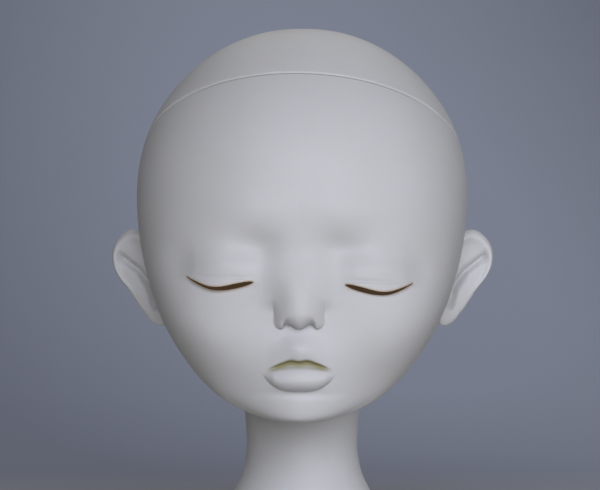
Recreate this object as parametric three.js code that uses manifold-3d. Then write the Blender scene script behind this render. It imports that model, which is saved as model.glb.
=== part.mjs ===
// A ball-jointed doll's head on its neck, in millimetres, +Z up, face towards -Y.
// The head is a hollow resin casting with a lift-off cap held by magnets. It sits on the ball at
// the top of the neck, and an elastic loop inside the neck pulls it down by a steel S-hook.
import * as THREE from "three";
import { mergeVertices } from "three/addons/utils/BufferGeometryUtils.js";
import Module from "manifold-3d";

const wasm = await Module();
wasm.setup();

// Driving sizes of the head
const headHeight = 71; // chin to crown
const skullHalfWidth = 30.3;
const faceReach = 30.6; // neck axis to the forehead
const backReach = 34.1; // neck axis to the back of the skull
const wall = 3.4;
const chinHeight = 20; // foot of the neck to the chin

// Driving sizes of the cap and its magnets
const seamRise = 50.8; // chin to the seam, measured on the neck axis
const seamTilt = THREE.MathUtils.degToRad(30.5);
const seamRoll = THREE.MathUtils.degToRad(1.3);
const seamGap = 0.3;
const lipInset = 1.3;
const lipWidth = 1;
const lipHeight = 1;
const magnetRadius = 2.5;
const magnetThickness = 2;
const magnetInset = 5.2; // outer edge of the seam to a magnet's centre
const bossRadius = 4.4;
const bossDepth = 5.5;

// Driving sizes of the neck and what runs inside it
const ballRise = 2.7; // chin to the centre of the neck's ball
const ballRadius = 10.6;
const neckRadius = 10.1;
const footRadius = 24;
const footEdge = 1.2;
const boreRadius = 5.4;
const mouthRadius = 6.3;
const counterboreRadius = 9;
const counterboreDepth = 8;
const wireRadius = 1;
const elasticRadius = 1.5;
const barRadius = 1.5;
const barLength = 15;

// Clearances
const jointGap = 0.35; // ball to socket
const seatGap = 0.3; // a piece to what it rests on
const overrun = 1; // how far a cutter runs past the face that it cuts

const ballHeight = chinHeight + ballRise;
const socketRadius = ballRadius + jointGap;
const floorThickness = 2.8;
const floorRadius = socketRadius + floorThickness;

// Materials
const resin = { color: 0xd9d6d0, roughness: 0.55, metalness: 0 };
const nickel = { color: 0xc4c4c6, roughness: 0.25, metalness: 1 };
const steel = { color: 0xb4b5b8, roughness: 0.3, metalness: 1 };
const rubber = { color: 0xe9e4d8, roughness: 0.7, metalness: 0 };

// The outside of the head, as horizontal rings from the chin to the crown. Each ring gives its height,
// half width, front and back, and where along the depth it is widest, as shares of the head's sizes:
// headHeight, skullHalfWidth, faceReach and backReach. The last number is how square its front is.
const ringShares = [
  [0, 0, 0.85, -0.7628, -0.7628, 2],
  [0.003, 0.135, 0.925, -0.65, -0.73, 2],
  [0.022, 0.3, 0.945, -0.49, -0.665, 2.05],
  [0.062, 0.484, 0.96, -0.24, -0.56, 2],
  [0.119, 0.628, 0.963, 0.235, -0.36, 2.08],
  [0.183, 0.74, 0.966, 0.52, -0.206, 2.65],
  [0.254, 0.834, 0.968, 0.712, -0.103, 3.3],
  [0.338, 0.91, 0.975, 0.855, -0.015, 3.05],
  [0.437, 0.972, 0.992, 0.952, 0.05, 2.55],
  [0.563, 1.005, 1.004, 1.006, 0.088, 2.35],
  [0.676, 0.982, 0.966, 0.984, 0.094, 2.15],
  [0.775, 0.897, 0.86, 0.893, 0.094, 2.1],
  [0.862, 0.752, 0.692, 0.754, 0.094, 2.05],
  [0.927, 0.584, 0.5, 0.6, 0.091, 2],
  [0.973, 0.39, 0.285, 0.43, 0.088, 2],
  [0.998, 0.195, 0.08, 0.255, 0.088, 2],
  [1.003, 0, -0.098, 0.088, 0.088, 2],
];
const lastRing = ringShares.length - 1;

// One value of the ring table at a row between 0 and lastRing, on a uniform cubic B-spline.
// Past the poles the rings come back on the other side, with width and depth changed round.
function ringShare(row, column) {
  const first = Math.min(Math.floor(row), lastRing - 1);
  const t = row - first;
  const weights = [
    (1 - t) ** 3 / 6,
    (3 * t ** 3 - 6 * t ** 2 + 4) / 6,
    (-3 * t ** 3 + 3 * t ** 2 + 3 * t + 1) / 6,
    t ** 3 / 6,
  ];
  return weights.reduce((sum, weight, k) => {
    const ring = first + k - 1;
    const mirrored = ring < 0 ? -ring : ring > lastRing ? 2 * lastRing - ring : ring;
    const values = ringShares[mirrored];
    if (mirrored === ring) return sum + weight * values[column];
    if (column === 1) return sum - weight * values[1];
    if (column === 2) return sum - (weight * values[3] * backReach) / faceReach;
    if (column === 3) return sum - (weight * values[2] * faceReach) / backReach;
    return sum + weight * values[column];
  }, 0);
}

// A point of the smooth head, without its features. Turn 0 is the head's left, a quarter turn its face.
function skullPoint(row, turn) {
  const height = ringShare(row, 0) * headHeight;
  const halfWidth = ringShare(row, 1) * skullHalfWidth;
  const front = ringShare(row, 2) * faceReach;
  const back = ringShare(row, 3) * backReach;
  const widest = ringShare(row, 4) * backReach;
  const across = Math.cos(turn);
  const forward = Math.sin(turn);
  const power = forward > 0 ? ringShare(row, 5) : 2;
  const reach = (Math.abs(across) ** power + Math.abs(forward) ** power) ** (-1 / power);
  const depth = forward > 0 ? front + widest : back - widest;
  return new THREE.Vector3(
    halfWidth * across * reach,
    widest - depth * forward * reach,
    chinHeight + height,
  );
}

// Sculpted features: how far the face stands out, as a function of the place on it. In all of them
// across is a share of skullHalfWidth, up a share of headHeight above the chin, and rise of faceReach.

const bell = (distance, spread) => Math.exp(-((distance / spread) ** 2));
const smooth = THREE.MathUtils.smoothstep;

// Soft mounds and hollows on both sides of the face: place across and up, spread across and up, and rise
const moundShares = [
  [0.2, 0.41, 0.08, 0.055, -0.012], // hollow beside the bridge of the nose
  [0.26, 0.438, 0.14, 0.036, -0.04], // hollow under the inner end of the brow
  [0.7, 0.4, 0.13, 0.05, -0.024], // hollow of the outer eye socket
  [0.32, 0.53, 0.24, 0.04, 0.014], // brow
  [0.62, 0.175, 0.27, 0.11, 0.052], // cheek
  [0.078, 0.249, 0.016, 0.007, -0.01], // nostril
  [0.42, 0.02, 0.2, 0.08, -0.05], // jaw beside the chin
];
// The same in the middle of the face: place up, spread across and up, and rise
const middleMoundShares = [
  [0.155, 0.21, 0.07, 0.038], // muzzle round the mouth
  [0.016, 0.15, 0.045, 0.01], // chin
  [0.074, 0.2, 0.012, -0.01], // groove under the lower lip
  [0.19, 0.075, 0.032, 0.016], // philtrum
];

// The nose: a soft ridge that widens to round wings and rolls under to its base
const noseTipShare = 0.275;
const noseRootShare = 0.46;
const noseRiseShare = 0.108;
const noseHalfWidthShare = 0.128;
const noseSpreadShare = 0.06; // how much wider the bridge gets towards the brow
const wingsHalfWidthShare = 0.148;
const noseBaseShare = 0.2355;
const nostrilShares = [0.076, 0.102, 0.0135]; // where it starts and ends across, and how far up it cuts

// Height of the nose's base at a place across, cut up at the nostrils and round under the wings
function noseBase(side) {
  const [start, end, cut] = nostrilShares;
  const nostril = smooth(side, 0, start) * (1 - smooth(side, start, end));
  const corner = THREE.MathUtils.clamp((side - end) / (wingsHalfWidthShare - end), 0, 1);
  return noseBaseShare + cut * nostril + 1.6 * cut * (1 - Math.sqrt(1 - corner ** 2));
}

function noseRise(across, up) {
  const side = Math.abs(across);
  const fromTip = up - noseTipShare;
  const along = fromTip / (noseRootShare - noseTipShare);
  const bridge = Math.max(0, 1 - along ** 2) ** 2.8;
  const below = THREE.MathUtils.clamp(fromTip / (noseTipShare - noseBase(side)), -1, 0);
  const underside = (1 - below ** 2) ** 0.45;
  const halfWidth = noseHalfWidthShare + noseSpreadShare * smooth(along, 0, 0.9);
  const soft = Math.exp(-((side / halfWidth) ** 2.4));
  const round = Math.max(0, 1 - (side / wingsHalfWidthShare) ** 2) ** 0.8;
  const section = THREE.MathUtils.lerp(round, soft, smooth(along, 0, 0.2));
  return noseRiseShare * (along > 0 ? bridge : underside) * section;
}

// The eye slit: places along its middle from the inner corner out, across and up, and its half height
const slitShares = [
  [0.268, 0.3489, 0.001],
  [0.292, 0.3465, 0.0042],
  [0.33, 0.3423, 0.0058],
  [0.38, 0.3371, 0.0062],
  [0.43, 0.3325, 0.0055],
  [0.48, 0.3303, 0.0045],
  [0.53, 0.3323, 0.0038],
  [0.58, 0.3397, 0.003],
  [0.625, 0.3487, 0.0018],
  [0.66, 0.3572, 0.0007],
];
const creaseShare = 0.3595; // height of the crease above the slit
const lidBandShare = 0.006; // how far the band between slit and crease stands out
const lidShares = [0.5, 0.382, 0.22, 0.042, 0.038]; // the mound over the eyeball: place, spread and rise
const eyeSkew = 0.03; // how much lower the eye on the doll's left sits, for each unit across

// Height of a slit's middle line at a place across the face
function slitLine(across) {
  const last = slitShares.length - 1;
  const place = THREE.MathUtils.clamp(across, slitShares[0][0], slitShares[last][0]);
  const next = Math.max(1, slitShares.findIndex(([middle]) => middle >= place));
  const [a, b] = [slitShares[next - 1], slitShares[next]];
  return THREE.MathUtils.mapLinear(place, a[0], b[0], a[1], b[1]);
}

// The lid over the eyeball, which ends at the slit, and the band of the lid under its crease
function eyelidRise(across, up) {
  const side = Math.abs(across);
  const line = slitLine(side);
  const [middle, level, wide, high, rise] = lidShares;
  const overEye = smooth(side, 0.2, 0.34) * (1 - smooth(side, 0.6, 0.74));
  const edge = smooth(up, line - 0.012, line + 0.005);
  const lid = rise * bell(side - middle, wide) * bell(Math.max(up - level, 0), high) * edge * overEye;
  const inside = smooth(side, 0.26, 0.34) * (1 - smooth(side, 0.58, 0.67));
  const band = smooth(up, line - 0.003, line + 0.003) * (1 - smooth(up, creaseShare - 0.008, creaseShare));
  return lid + lidBandShare * band * inside;
}

// The mouth: the line between the lips droops to its corners, with two peaks and a dip in the middle
const mouthHalfWidthShare = 0.2;
const mouthLineShare = 0.1563;
const mouthDroopShare = 0.0262;
const mouthPeakShare = 0.0022;
const mouthDipShare = 0.0022;
const upperLipRiseShare = 0.024;
const upperLipHeightShare = 0.03;
const lowerLipRiseShare = 0.052;
const lowerLipTopShare = 0.1395;
const lowerLipFrontShare = 0.105; // height of its foremost line
const lowerLipBottomShare = 0.0795;
const partingShare = 0.018;

// A thin upper lip that overhangs the parting, at a height over the line between the lips
function upperLipRise(side, overLine) {
  const over = overLine / upperLipHeightShare;
  const roll = (1 - (1 - THREE.MathUtils.clamp(over, 0, 1)) ** 2) ** 0.6;
  return upperLipRiseShare * roll * bell(Math.max(over - 1, 0), 1) * (1 - smooth(side, 0, 1.1));
}

// A full lower lip, foremost in its lower half
function lowerLipRise(side, up, top) {
  const bottom = lowerLipBottomShare + 0.035 * side ** 3;
  const place = (lowerLipFrontShare - lowerLipBottomShare) / (lowerLipTopShare - lowerLipBottomShare);
  const front = THREE.MathUtils.lerp(bottom, top, place);
  const belowFront = THREE.MathUtils.clamp((front - up) / (front - bottom), 0, 1);
  const aboveFront = THREE.MathUtils.clamp((up - front) / (top + 0.004 - front), 0, 1);
  const full = (1 - belowFront ** 2) ** 0.6 * (1 - aboveFront ** 1.6);
  return lowerLipRiseShare * full * (1 - 0.4 * side ** 2);
}

function mouthRise(across, up) {
  const side = Math.abs(across) / mouthHalfWidthShare;
  const inside = 1 - smooth(side, 0.7, 1.1);
  if (inside === 0) return 0;
  const peaks = mouthPeakShare * bell(side - 0.28, 0.15) - mouthDipShare * bell(side, 0.14);
  const line = mouthLineShare - mouthDroopShare * side ** 2 + peaks;
  const top = lowerLipTopShare - 0.013 * side ** 2;
  const lips = upperLipRise(side, up - line) + lowerLipRise(side, up, top);
  const parting = (1 - smooth(up - line, -0.002, 0.002)) * smooth(up, top - 0.006, top + 0.006);
  return lips * inside - partingShare * parting * (1 - smooth(side, 0.45, 1));
}

// How far a place on the face stands out, in millimetres
function faceRise(x, height) {
  const across = x / skullHalfWidth;
  const up = height / headHeight;
  const eyeUp = up + ((eyeSkew * x) / headHeight) * smooth(up, 0.28, 0.34);
  let rise = noseRise(across, up) + eyelidRise(across, eyeUp) + mouthRise(across, up);
  for (const [middle, level, wide, high, out] of moundShares) {
    rise += out * bell(Math.abs(across) - middle, wide) * bell(eyeUp - level, high);
  }
  for (const [level, wide, high, out] of middleMoundShares) {
    rise += out * bell(across, wide) * bell(up - level, high);
  }
  return rise * faceReach;
}

// A point on the outside of the head, features and all
function facePoint(row, turn) {
  const point = skullPoint(row, turn);
  const facing = smooth(Math.sin(turn), 0.05, 0.5);
  point.y -= facing * faceRise(point.x, point.z - chinHeight);
  return point;
}

// A point a given depth under the smooth head
function insetPoint(depth) {
  const step = 0.01;
  return (row, turn) => {
    const point = skullPoint(row, turn);
    if (row < step) return point.setZ(point.z + depth);
    if (row > lastRing - step) return point.setZ(point.z - depth);
    const along = skullPoint(row + step, turn).sub(skullPoint(row - step, turn));
    const round = skullPoint(row, turn + step).sub(skullPoint(row, turn - step));
    return point.addScaledVector(along.cross(round).normalize(), -depth);
  };
}

// Solids and meshes

const weldDistance = overrun / 10000; // points closer than this are one point

function solidOf(geometry) {
  const bare = new THREE.BufferGeometry();
  bare.setAttribute("position", geometry.getAttribute("position"));
  bare.setIndex(geometry.index);
  const merged = mergeVertices(bare, weldDistance);
  return new wasm.Manifold(
    new wasm.Mesh({
      numProp: 3,
      vertProperties: new Float32Array(merged.attributes.position.array),
      triVerts: new Uint32Array(merged.index.array),
    }),
  );
}

function geometryOf(solid) {
  const made = solid.getMesh();
  const positions = new Float32Array(made.numVert * 3);
  for (let i = 0; i < made.numVert; i++) {
    positions.set(made.vertProperties.subarray(i * made.numProp, i * made.numProp + 3), i * 3);
  }
  const geometry = new THREE.BufferGeometry();
  geometry.setAttribute("position", new THREE.BufferAttribute(positions, 3));
  geometry.setIndex(new THREE.BufferAttribute(new Uint32Array(made.triVerts), 1));
  geometry.computeVertexNormals();
  return geometry;
}

// A closed skin between two poles. pointAt(row, turn) places it, rows runs from one pole to the other.
function skin(pointAt, rows, turns) {
  const positions = [pointAt(rows[0], turns[0])];
  for (const row of rows.slice(1, -1)) {
    for (const turn of turns) positions.push(pointAt(row, turn));
  }
  positions.push(pointAt(rows[rows.length - 1], turns[0]));
  const last = positions.length - 1;
  const at = (r, c) => 1 + r * turns.length + (c % turns.length);
  const faces = [];
  for (let c = 0; c < turns.length; c++) {
    faces.push(0, at(0, c), at(0, c + 1));
    for (let r = 0; r < rows.length - 3; r++) {
      faces.push(at(r, c), at(r + 1, c + 1), at(r, c + 1));
      faces.push(at(r, c), at(r + 1, c), at(r + 1, c + 1));
    }
    faces.push(last, at(rows.length - 3, c + 1), at(rows.length - 3, c));
  }
  const geometry = new THREE.BufferGeometry().setFromPoints(positions);
  geometry.setIndex(faces);
  return solidOf(geometry);
}

// Even steps over several spans: [start, end, steps] for each span. The last end is left out.
function spread(spans) {
  return spans.flatMap(([start, end, steps]) =>
    Array.from({ length: steps }, (_, i) => start + ((end - start) * i) / steps),
  );
}

// A three.js geometry as a solid, moved by a matrix
function placed(geometry, matrix = new THREE.Matrix4()) {
  return solidOf(geometry.applyMatrix4(matrix));
}

const at = (x, y, z) => new THREE.Matrix4().makeTranslation(x, y, z);

function ball(radius, centre) {
  return placed(new THREE.SphereGeometry(radius, 28, 18), at(...centre));
}

// A turned solid about the vertical axis. The profile runs [radius, height], up from the axis.
function turned(profile, segments = 40) {
  const points = profile.map(([radius, height]) => new THREE.Vector2(radius, height));
  const upright = new THREE.Matrix4().makeRotationX(Math.PI / 2);
  return placed(new THREE.LatheGeometry(points, segments), upright);
}

// A round bar swept along points in a plane. Its ends are flat, or it closes on itself.
function rod(points, radius, planeNormal, closed = false) {
  const sides = 10;
  const count = points.length;
  const rings = points.map((point, i) => {
    const before = points[closed ? (i + count - 1) % count : Math.max(i - 1, 0)];
    const after = points[closed ? (i + 1) % count : Math.min(i + 1, count - 1)];
    const along = after.clone().sub(before).normalize();
    const out = along.clone().cross(planeNormal).normalize();
    return Array.from({ length: sides }, (_, k) => {
      const angle = (2 * Math.PI * k) / sides;
      return point
        .clone()
        .addScaledVector(out, radius * Math.cos(angle))
        .addScaledVector(planeNormal, radius * Math.sin(angle));
    });
  });
  const positions = rings.flat();
  const vertex = (r, k) => (r % count) * sides + (k % sides);
  const faces = [];
  for (let r = 0; r < (closed ? count : count - 1); r++) {
    for (let k = 0; k < sides; k++) {
      faces.push(vertex(r, k), vertex(r + 1, k + 1), vertex(r, k + 1));
      faces.push(vertex(r, k), vertex(r + 1, k), vertex(r + 1, k + 1));
    }
  }
  if (!closed) {
    for (let k = 1; k < sides - 1; k++) {
      faces.push(vertex(0, 0), vertex(0, k), vertex(0, k + 1));
      faces.push(vertex(count - 1, 0), vertex(count - 1, k + 1), vertex(count - 1, k));
    }
  }
  const geometry = new THREE.BufferGeometry().setFromPoints(positions);
  geometry.setIndex(faces);
  const solid = solidOf(geometry);
  return solid.volume() > 0 ? solid : solidOf(flipped(geometry));
}

function flipped(geometry) {
  const index = Array.from(geometry.index.array);
  for (let i = 0; i < index.length; i += 3) {
    [index[i + 1], index[i + 2]] = [index[i + 2], index[i + 1]];
  }
  return geometry.setIndex(index);
}

// Points on an arc in a plane given by two axes
function arc(centre, radius, start, end, steps, first, second) {
  return Array.from({ length: steps + 1 }, (_, i) => {
    const angle = start + ((end - start) * i) / steps;
    return centre
      .clone()
      .addScaledVector(first, radius * Math.cos(angle))
      .addScaledVector(second, radius * Math.sin(angle));
  });
}

// The ear: an open shell of cartilage, on a plate that leans out of the side of the head

const earHeight = 17.6;
const earWidth = 9.9;
const earThickness = 1.9;
const earLean = THREE.MathUtils.degToRad(72); // plate to the side of the head
const earSplay = THREE.MathUtils.degToRad(17); // top of the ear outwards
const earTilt = THREE.MathUtils.degToRad(9); // top of the ear back
const earRise = 26.2; // chin to the ear's middle
const earDepth = 3.2; // neck axis back to the ear's root
const earRoot = 26.5; // middle of the head to the ear's root
// Outline of the ear round its middle: turn as a share of a whole turn from the free edge
// towards the top, and reach as a share of earHeight
const earOutlineShares = [
  [0, 0.258],
  [0.06, 0.335],
  [0.116, 0.435],
  [0.16, 0.495],
  [0.21, 0.525],
  [0.27, 0.53],
  [0.34, 0.44],
  [0.45, 0.3],
  [0.56, 0.28],
  [0.66, 0.36],
  [0.72, 0.53],
  [0.765, 0.47],
  [0.8, 0.36],
  [0.86, 0.27],
  [0.93, 0.235],
];
// The fold that parts the ear's rim from its inner plane: places across and up, as shares of earHeight
const earFoldShares = [[0.19, 0.3], [0.02, 0.1], [-0.06, -0.1], [-0.05, -0.3]];
const earStretch = (2 * earWidth) / (1.36 * earHeight); // across the ear, against up it

function earReach(turnShare) {
  const count = earOutlineShares.length;
  const places = earOutlineShares.map(([place]) => place);
  const next = places.findIndex((place) => place > turnShare);
  const i = (next < 0 ? count : next) - 1;
  const value = (k) => earOutlineShares[(k + count) % count][1];
  const end = i + 1 < count ? places[i + 1] : 1;
  const t = (turnShare - places[i]) / (end - places[i]);
  return 0.5 * (
    2 * value(i) +
    (value(i + 1) - value(i - 1)) * t +
    (2 * value(i - 1) - 5 * value(i) + 4 * value(i + 1) - value(i + 2)) * t ** 2 +
    (3 * value(i) - value(i - 1) - 3 * value(i + 1) + value(i + 2)) * t ** 3
  );
}

function fromFold(across, up) {
  const place = new THREE.Vector3(across, up, 0);
  const corners = earFoldShares.map(([x, z]) => new THREE.Vector3(x, z, 0));
  const distances = corners.slice(1).map((corner, i) =>
    new THREE.Line3(corners[i], corner)
      .closestPointToPoint(place, true, new THREE.Vector3())
      .distanceTo(place),
  );
  return Math.min(...distances);
}

// How far the front of the ear stands out at a distance from its middle, 0 to 1, as a share of its thickness
function earRelief(distance, turn) {
  const reach = distance * earReach(turn / (2 * Math.PI));
  const [across, up] = [reach * Math.cos(turn), reach * Math.sin(turn)];
  const helix = 0.35 * bell(distance - 0.88, 0.13) * smooth(up, -0.2, 0.2);
  const fold = -0.6 * bell(fromFold(across, up), 0.05);
  const concha = -0.35 * bell(Math.hypot(across + 0.1, up + 0.05), 0.11);
  return helix + fold + concha;
}

function earSolid() {
  const distances = [0, 0.28, 0.46, 0.58, 0.7, 0.82, 0.9, 0.97];
  const rim = distances.length;
  const turns = spread([[0, 2 * Math.PI, 26]]);
  const up = new THREE.Vector3(Math.tan(earSplay), Math.tan(earTilt), 1).normalize();
  const face = new THREE.Vector3(Math.cos(earLean), -Math.sin(earLean), 0).cross(up).cross(up);
  face.normalize().negate();
  const out = new THREE.Vector3().crossVectors(up, face);
  const root = new THREE.Vector3(earRoot, earDepth, chinHeight + earRise);
  const middle = root.addScaledVector(out, 0.28 * earWidth);
  const place = (distance, turn, lift) => {
    const reach = distance * earReach(turn / (2 * Math.PI)) * earHeight;
    const curl = 0.16 * distance ** 2 * earThickness;
    return middle
      .clone()
      .addScaledVector(out, reach * Math.cos(turn) * earStretch)
      .addScaledVector(up, reach * Math.sin(turn))
      .addScaledVector(face, lift + curl);
  };
  const halfThick = (distance) => 0.5 * earThickness * Math.sqrt(1 - 0.75 * distance ** 4);
  // The rows cross the front from the middle to the rim, and come back behind it
  const rows = spread([[0, 2 * rim, 2 * rim]]).concat(2 * rim);
  return skin(
    (row, turn) => {
      if (row === rim) return place(1, turn, 0);
      const distance = distances[row > rim ? 2 * rim - row : row];
      const lift =
        row > rim
          ? -halfThick(distance) - 0.5 * earThickness * bell(distance, 0.5)
          : halfThick(distance) + earThickness * earRelief(distance, turn);
      return place(distance, turn, lift);
    },
    rows,
    turns,
  );
}

// The head before it is cut: face, skull and ears in one casting. Rows and turns are closest where
// the mouth, the nose and the eyes are.
const faceRows = spread([
  [0, 1, 2], [1, 3, 3], [3, 3.6, 4], [3.6, 4.2, 2], [4.2, 4.7, 5], [4.7, 5.6, 4], [5.6, 6.3, 6],
  [6.3, 6.6, 1], [6.6, 7.4, 7], [7.4, 9, 5], [9, 16, 9],
]).concat(lastRing);
const degree = Math.PI / 180;
const faceTurns = spread([
  [-30 * degree, 48 * degree, 9], [48 * degree, 80 * degree, 13], [80 * degree, 100 * degree, 14],
  [100 * degree, 132 * degree, 13], [132 * degree, 210 * degree, 9], [210 * degree, 330 * degree, 8],
]);
const plainRows = spread([[0, lastRing, 18]]).concat(lastRing);
const plainTurns = spread([[0, 2 * Math.PI, 28]]);

const ear = earSolid();
const otherEar = placed(flipped(geometryOf(ear)), new THREE.Matrix4().makeScale(-1, 1, 1));
const head = skin(facePoint, faceRows, faceTurns).add(ear).add(otherEar);
const under = (depth) => skin(insetPoint(depth), plainRows, plainTurns);

// The seam's own frame: its plane is level there, with +Z out of the head and -Y to the face
const seamFrame = at(0, 0, chinHeight + seamRise)
  .multiply(new THREE.Matrix4().makeRotationX(-seamTilt))
  .multiply(new THREE.Matrix4().makeRotationY(seamRoll));

function seamBlock(low, high) {
  const side = 4 * backReach;
  const block = new THREE.BoxGeometry(side, side, high - low).translate(0, 0, (low + high) / 2);
  return placed(block, seamFrame);
}

function seamRound(radius, low, high, [x, y]) {
  const round = new THREE.CylinderGeometry(radius, radius, high - low, 24)
    .rotateX(Math.PI / 2)
    .translate(x, y, (low + high) / 2);
  return placed(round, seamFrame);
}

// Where the seam's plane meets the head, in the seam's frame, towards a turn
function seamEdge(turn) {
  const inverse = seamFrame.clone().invert();
  let [low, high] = [0, lastRing];
  for (let i = 0; i < 40; i++) {
    const row = (low + high) / 2;
    const point = skullPoint(row, turn).applyMatrix4(inverse);
    if (point.z < 0) low = row;
    else high = row;
  }
  return skullPoint(low, turn).applyMatrix4(inverse);
}

// The four magnet places, a set distance in from the seam's edge
const magnetPlaces = Object.fromEntries(
  [["left", 0], ["front", 90], ["right", 180], ["back", 270]].map(([side, angle]) => {
    const edge = seamEdge(angle * degree);
    const inward = new THREE.Vector2(-Math.cos(angle * degree), Math.sin(angle * degree));
    return [side, [edge.x + inward.x * magnetInset, edge.y + inward.y * magnetInset]];
  }),
);
const places = Object.values(magnetPlaces);
const pocketRadius = magnetRadius + seatGap;
const pocketDepth = magnetThickness + seatGap;
const capBase = seamGap; // the cap's underside, above the shell's rim

// The eyes' wells inside the face, behind the slits
const wellRadius = 6.6;
const wellAcross = 13.6;
const wellDepth = 18.6; // neck axis forward to the well's centre
const wellRise = 24.6;

function eyeSlit(side) {
  const outline = new THREE.Shape();
  const place = ([across, up, half], sign) => {
    const x = side * across * skullHalfWidth;
    return [x, (up + sign * half) * headHeight - eyeSkew * x];
  };
  outline.moveTo(...place(slitShares[0], 1));
  outline.splineThru(slitShares.slice(1).map((p) => new THREE.Vector2(...place(p, 1))));
  outline.lineTo(...place(slitShares[slitShares.length - 1], -1));
  outline.splineThru(
    slitShares.toReversed().slice(1).map((p) => new THREE.Vector2(...place(p, -1))),
  );
  const depth = faceReach - wellDepth + overrun;
  const blade = new THREE.ExtrudeGeometry(outline, { depth, bevelEnabled: false, curveSegments: 3 });
  const upright = at(0, -wellDepth, chinHeight).multiply(
    new THREE.Matrix4().makeRotationX(Math.PI / 2),
  );
  return placed(blade, upright);
}

// The slot in the socket's floor, long from front to back, that the hook drops through
const slotWidth = 3.6;
const slotLength = 13.4;

function hookSlot() {
  const outline = new THREE.Shape();
  const straight = (slotLength - slotWidth) / 2;
  outline.absarc(0, straight, slotWidth / 2, 0, Math.PI);
  outline.absarc(0, -straight, slotWidth / 2, Math.PI, 2 * Math.PI);
  const slot = new THREE.ExtrudeGeometry(outline, {
    depth: floorRadius + overrun,
    bevelEnabled: false,
    curveSegments: 8,
  });
  return placed(slot, at(0, 0, ballHeight));
}

// The socket: round where it rides on the ball, and opened out below so that the head can lean
const socketSeat = 3; // how far above the ball's centre the round part stops
const socketFlare = 15;

function socket() {
  const seatRadius = Math.sqrt(socketRadius ** 2 - socketSeat ** 2);
  const low = socketSeat + 2 * overrun + ballRise;
  const steps = 10;
  const start = Math.asin(socketSeat / socketRadius);
  const round = Array.from({ length: steps }, (_, i) => {
    const angle = start + ((Math.PI / 2 - start) * i) / steps;
    return [socketRadius * Math.cos(angle), ballHeight + socketRadius * Math.sin(angle)];
  });
  return turned([
    [0, ballHeight + socketSeat - low],
    [socketFlare, ballHeight + socketSeat - low],
    [seatRadius + overrun / 4, ballHeight + socketSeat - overrun],
    ...round,
    [0, ballHeight + socketRadius],
  ]);
}

// The hollow inside the head, less what stands in it
function hollow() {
  let space = under(wall);
  for (const side of [-1, 1]) {
    space = space.add(ball(wellRadius, [side * wellAcross, -wellDepth, chinHeight + wellRise]));
  }
  space = space.subtract(ball(floorRadius, [0, 0, ballHeight]));
  for (const place of places) {
    space = space.subtract(seamRound(bossRadius, -bossDepth, capBase + bossDepth, place));
  }
  return space;
}

const walls = head.subtract(hollow());

function lipRing(clearance) {
  const ring = under(lipInset - clearance).subtract(under(lipInset + lipWidth + clearance));
  return ring.intersect(seamBlock(-overrun, lipHeight + clearance));
}

function headShell() {
  let shell = walls.subtract(seamBlock(0, 2 * headHeight)).subtract(socket()).subtract(hookSlot());
  for (const side of [-1, 1]) shell = shell.subtract(eyeSlit(side));
  let lip = lipRing(0);
  for (const place of places) {
    shell = shell.subtract(seamRound(pocketRadius, -pocketDepth, overrun, place));
    lip = lip.subtract(seamRound(pocketRadius + lipWidth, -2 * overrun, 2 * lipHeight, place));
  }
  return shell.add(lip);
}

function headCap() {
  let cap = walls.subtract(seamBlock(-2 * headHeight, capBase));
  cap = cap.subtract(lipRing(seatGap));
  for (const place of places) {
    cap = cap.subtract(seamRound(pocketRadius, capBase - overrun, capBase + pocketDepth, place));
  }
  return cap;
}

// A magnet lies a little below the face of its pocket, and the same distance off the pocket's floor
function magnet(place, side) {
  const face = side > 0 ? capBase + seatGap / 2 : -seatGap / 2;
  const low = side > 0 ? face : face - magnetThickness;
  return seamRound(magnetRadius, low, low + magnetThickness, place);
}

// The neck: a foot, a flare, a slim waist and the ball, bored for the elastic
function neck() {
  // Radius beyond neckRadius as a share of the foot's spread, and height as a share of the way to the ball
  const flareShares = [
    [1, 0.055], [0.56, 0.13], [0.27, 0.22], [0.12, 0.36], [0.035, 0.5], [0, 0.66], [0.008, 0.83],
  ];
  const flare = flareShares.map(
    ([out, up]) => new THREE.Vector2(neckRadius + out * (footRadius - neckRadius), up * ballHeight),
  );
  flare[0].y = footEdge;
  flare.push(new THREE.Vector2(ballRadius, ballHeight));
  const side = new THREE.SplineCurve(flare).getPoints(22).map((p) => [p.x, p.y]);
  const mouthAngle = Math.acos(mouthRadius / ballRadius);
  const steps = 10;
  const dome = Array.from({ length: steps }, (_, i) => {
    const angle = (mouthAngle * (i + 1)) / steps;
    return [ballRadius * Math.cos(angle), ballHeight + ballRadius * Math.sin(angle)];
  });
  const edge = footEdge / 2;
  const body = turned([
    [0, 0], [footRadius - edge, 0], [footRadius, edge], ...side, ...dome,
    [0, ballHeight + ballRadius * Math.sin(mouthAngle)],
  ]);
  const throat = ballHeight + ballRadius / 2;
  const bore = turned([
    [0, -overrun], [counterboreRadius, -overrun], [counterboreRadius, counterboreDepth],
    [boreRadius, counterboreDepth], [boreRadius, throat],
    [mouthRadius - overrun / 4, ballHeight + ballRadius * Math.sin(mouthAngle)],
    [mouthRadius - overrun / 4, ballHeight + 2 * ballRadius], [0, ballHeight + 2 * ballRadius],
  ]);
  return body.subtract(bore);
}

// The hook's lower curl goes round the ball's centre, and the elastic's bend passes through it there
const across = new THREE.Vector3(1, 0, 0);
const ahead = new THREE.Vector3(0, 1, 0);
const upward = new THREE.Vector3(0, 0, 1);
const ballCentre = new THREE.Vector3(0, 0, ballHeight);
const curlRadius = elasticRadius + seatGap + wireRadius;
const hookSpread = 5.1; // half width of the upper curl
const hookRest = floorRadius + seatGap + wireRadius; // ball centre to the wire lying on the floor

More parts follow.
